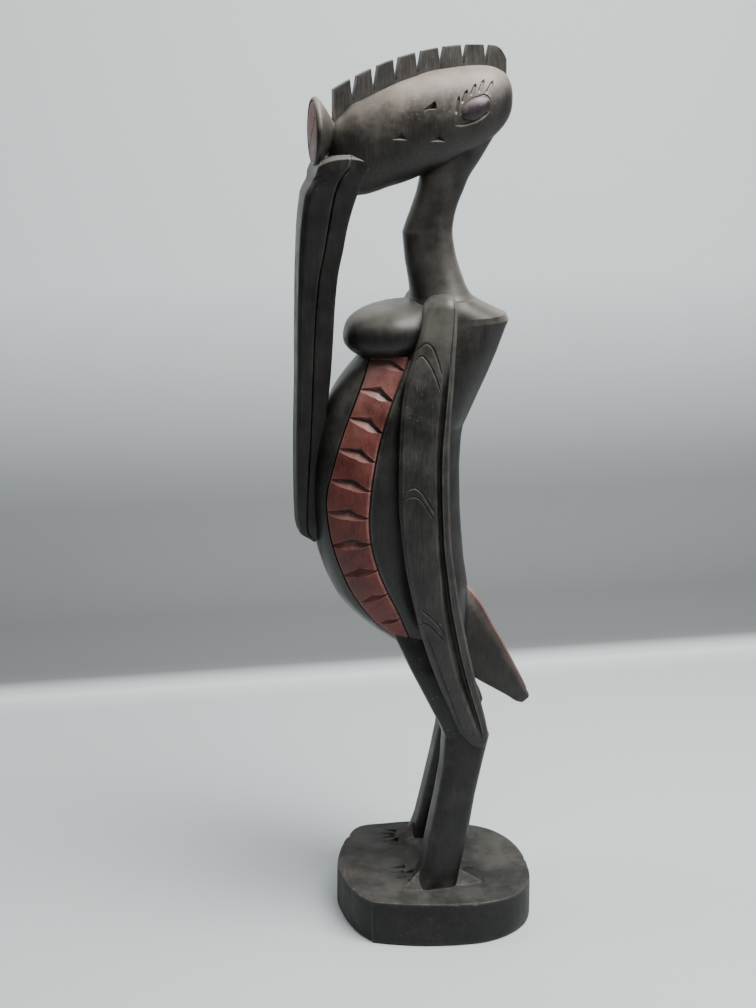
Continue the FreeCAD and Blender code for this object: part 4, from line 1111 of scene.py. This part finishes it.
# ---------------------------------------------------------------- beak
# Two long blades of the same wood, one behind the other, that hang from under the snout to the
# belly. Their wider roots, cut flat at the sides, join them to the head.
BEAK_LEVELS = [315.5, 318.5, 322, 327.7, 340, 364, 396, 428, 451, 474, 505, 527, 542, 561, 575,
               585, 595.7, 603, 609, 612, 613.5]
BEAK_FORE = [-100.5, -104.7, -110.3, -112.6, -113.6, -113.9, -113.7, -112.9, -112.2, -112,
             -111.3, -110.7, -110, -108.8, -107.2, -105.5, -102.6, -99.8, -97.2, -95.5, -94.5]
BEAK_SPLIT = [-99.9, -101.5, -104.5, -106, -106, -105, -103, -101.5, -100.5, -99.5, -97.3, -94.6,
              -91.4, -88.3, -85.9, -83.8, -79.6, -74.2, -72.4, -72, -72]
BEAK_REAR = [-98.9, -98, -97.6, -97.2, -96, -94, -91, -88.5, -86.2, -84.6, -82.6, -80, -76.8,
             -73.2, -69.4, -66, -61.8, -59.6, -58.2, -57.7, -57.5]
BEAK_HALVES = [8.5, 9.8, 11, 12, 12.6, 13, 13.2, 13.4, 13.6, 13.9, 14.4, 15, 15.8, 17.3, 18.8,
               20, 21.3, 21.6, 20.6, 18.6, 15.5]
levels = np.concatenate([np.linspace(315.5, 330, 20)[:-1], np.arange(330, 585, 2.0),
                         585 + 28.5 * np.sin(np.linspace(0, math.pi / 2, 40))])
blade_turns = full_turn(200)
fore, split, rear, halves = (smooth(levels, BEAK_LEVELS, line) for line in
                             (BEAK_FORE, BEAK_SPLIT, BEAK_REAR, BEAK_HALVES))
halves = np.where(levels > 600, 21.4, halves) - 3.0 * ease(levels, 609.5, 613.5) ** 1.5
FRONT_FACETS = [(0, 1.0), (90, 1.0), (180, 1.0), (270, 1.0), (320, 1.2), (220, 1.2), (48, 1.35),
                (132, 1.35)]
BACK_FACETS = [(0, 1.0), (90, 1.0), (180, 1.0), (270, 1.0), (306, 1.31), (234, 1.31),
               (45, 1.33), (135, 1.33)]
for name, node_name, near, far, facets, less in (
        ("beak_front_blade", "beak_front", fore, split - 0.03, FRONT_FACETS, 0.0),
        ("beak_back_blade", "beak_back", split + 0.03, rear, BACK_FACETS, 1.0)):
    crisp_x, crisp_y = hewn(blade_turns, facets, 30)
    blunt_x, blunt_y = hewn(blade_turns, facets[:4], 60)
    root = ease(levels, 600, 606)[:, None]
    unit_x = crisp_x * (1 - root) + blunt_x * root
    unit_y = crisp_y * (1 - root) + blunt_y * root
    wide = halves - less * (1 - ease(levels, 590, 604))
    rings = stacked(levels, wide, near, far, unit_x, unit_y)
    root_line = smooth(rings[:, :, 1], [-101, -98, -94, -88, -75.6, -65, -57.5],
                       [601, 606, 609.3, 612, 613.8, 612.6, 610.0])
    rise = np.clip((levels - 585) / 28.5, 0, 1)[:, None]
    rings[:, :, 2] = np.minimum(levels, 585)[:, None] + rise * (root_line - 585)
    blade = closed_skin(name, rings)
    finished(blade, black_wood, "dark_wood", node_name)
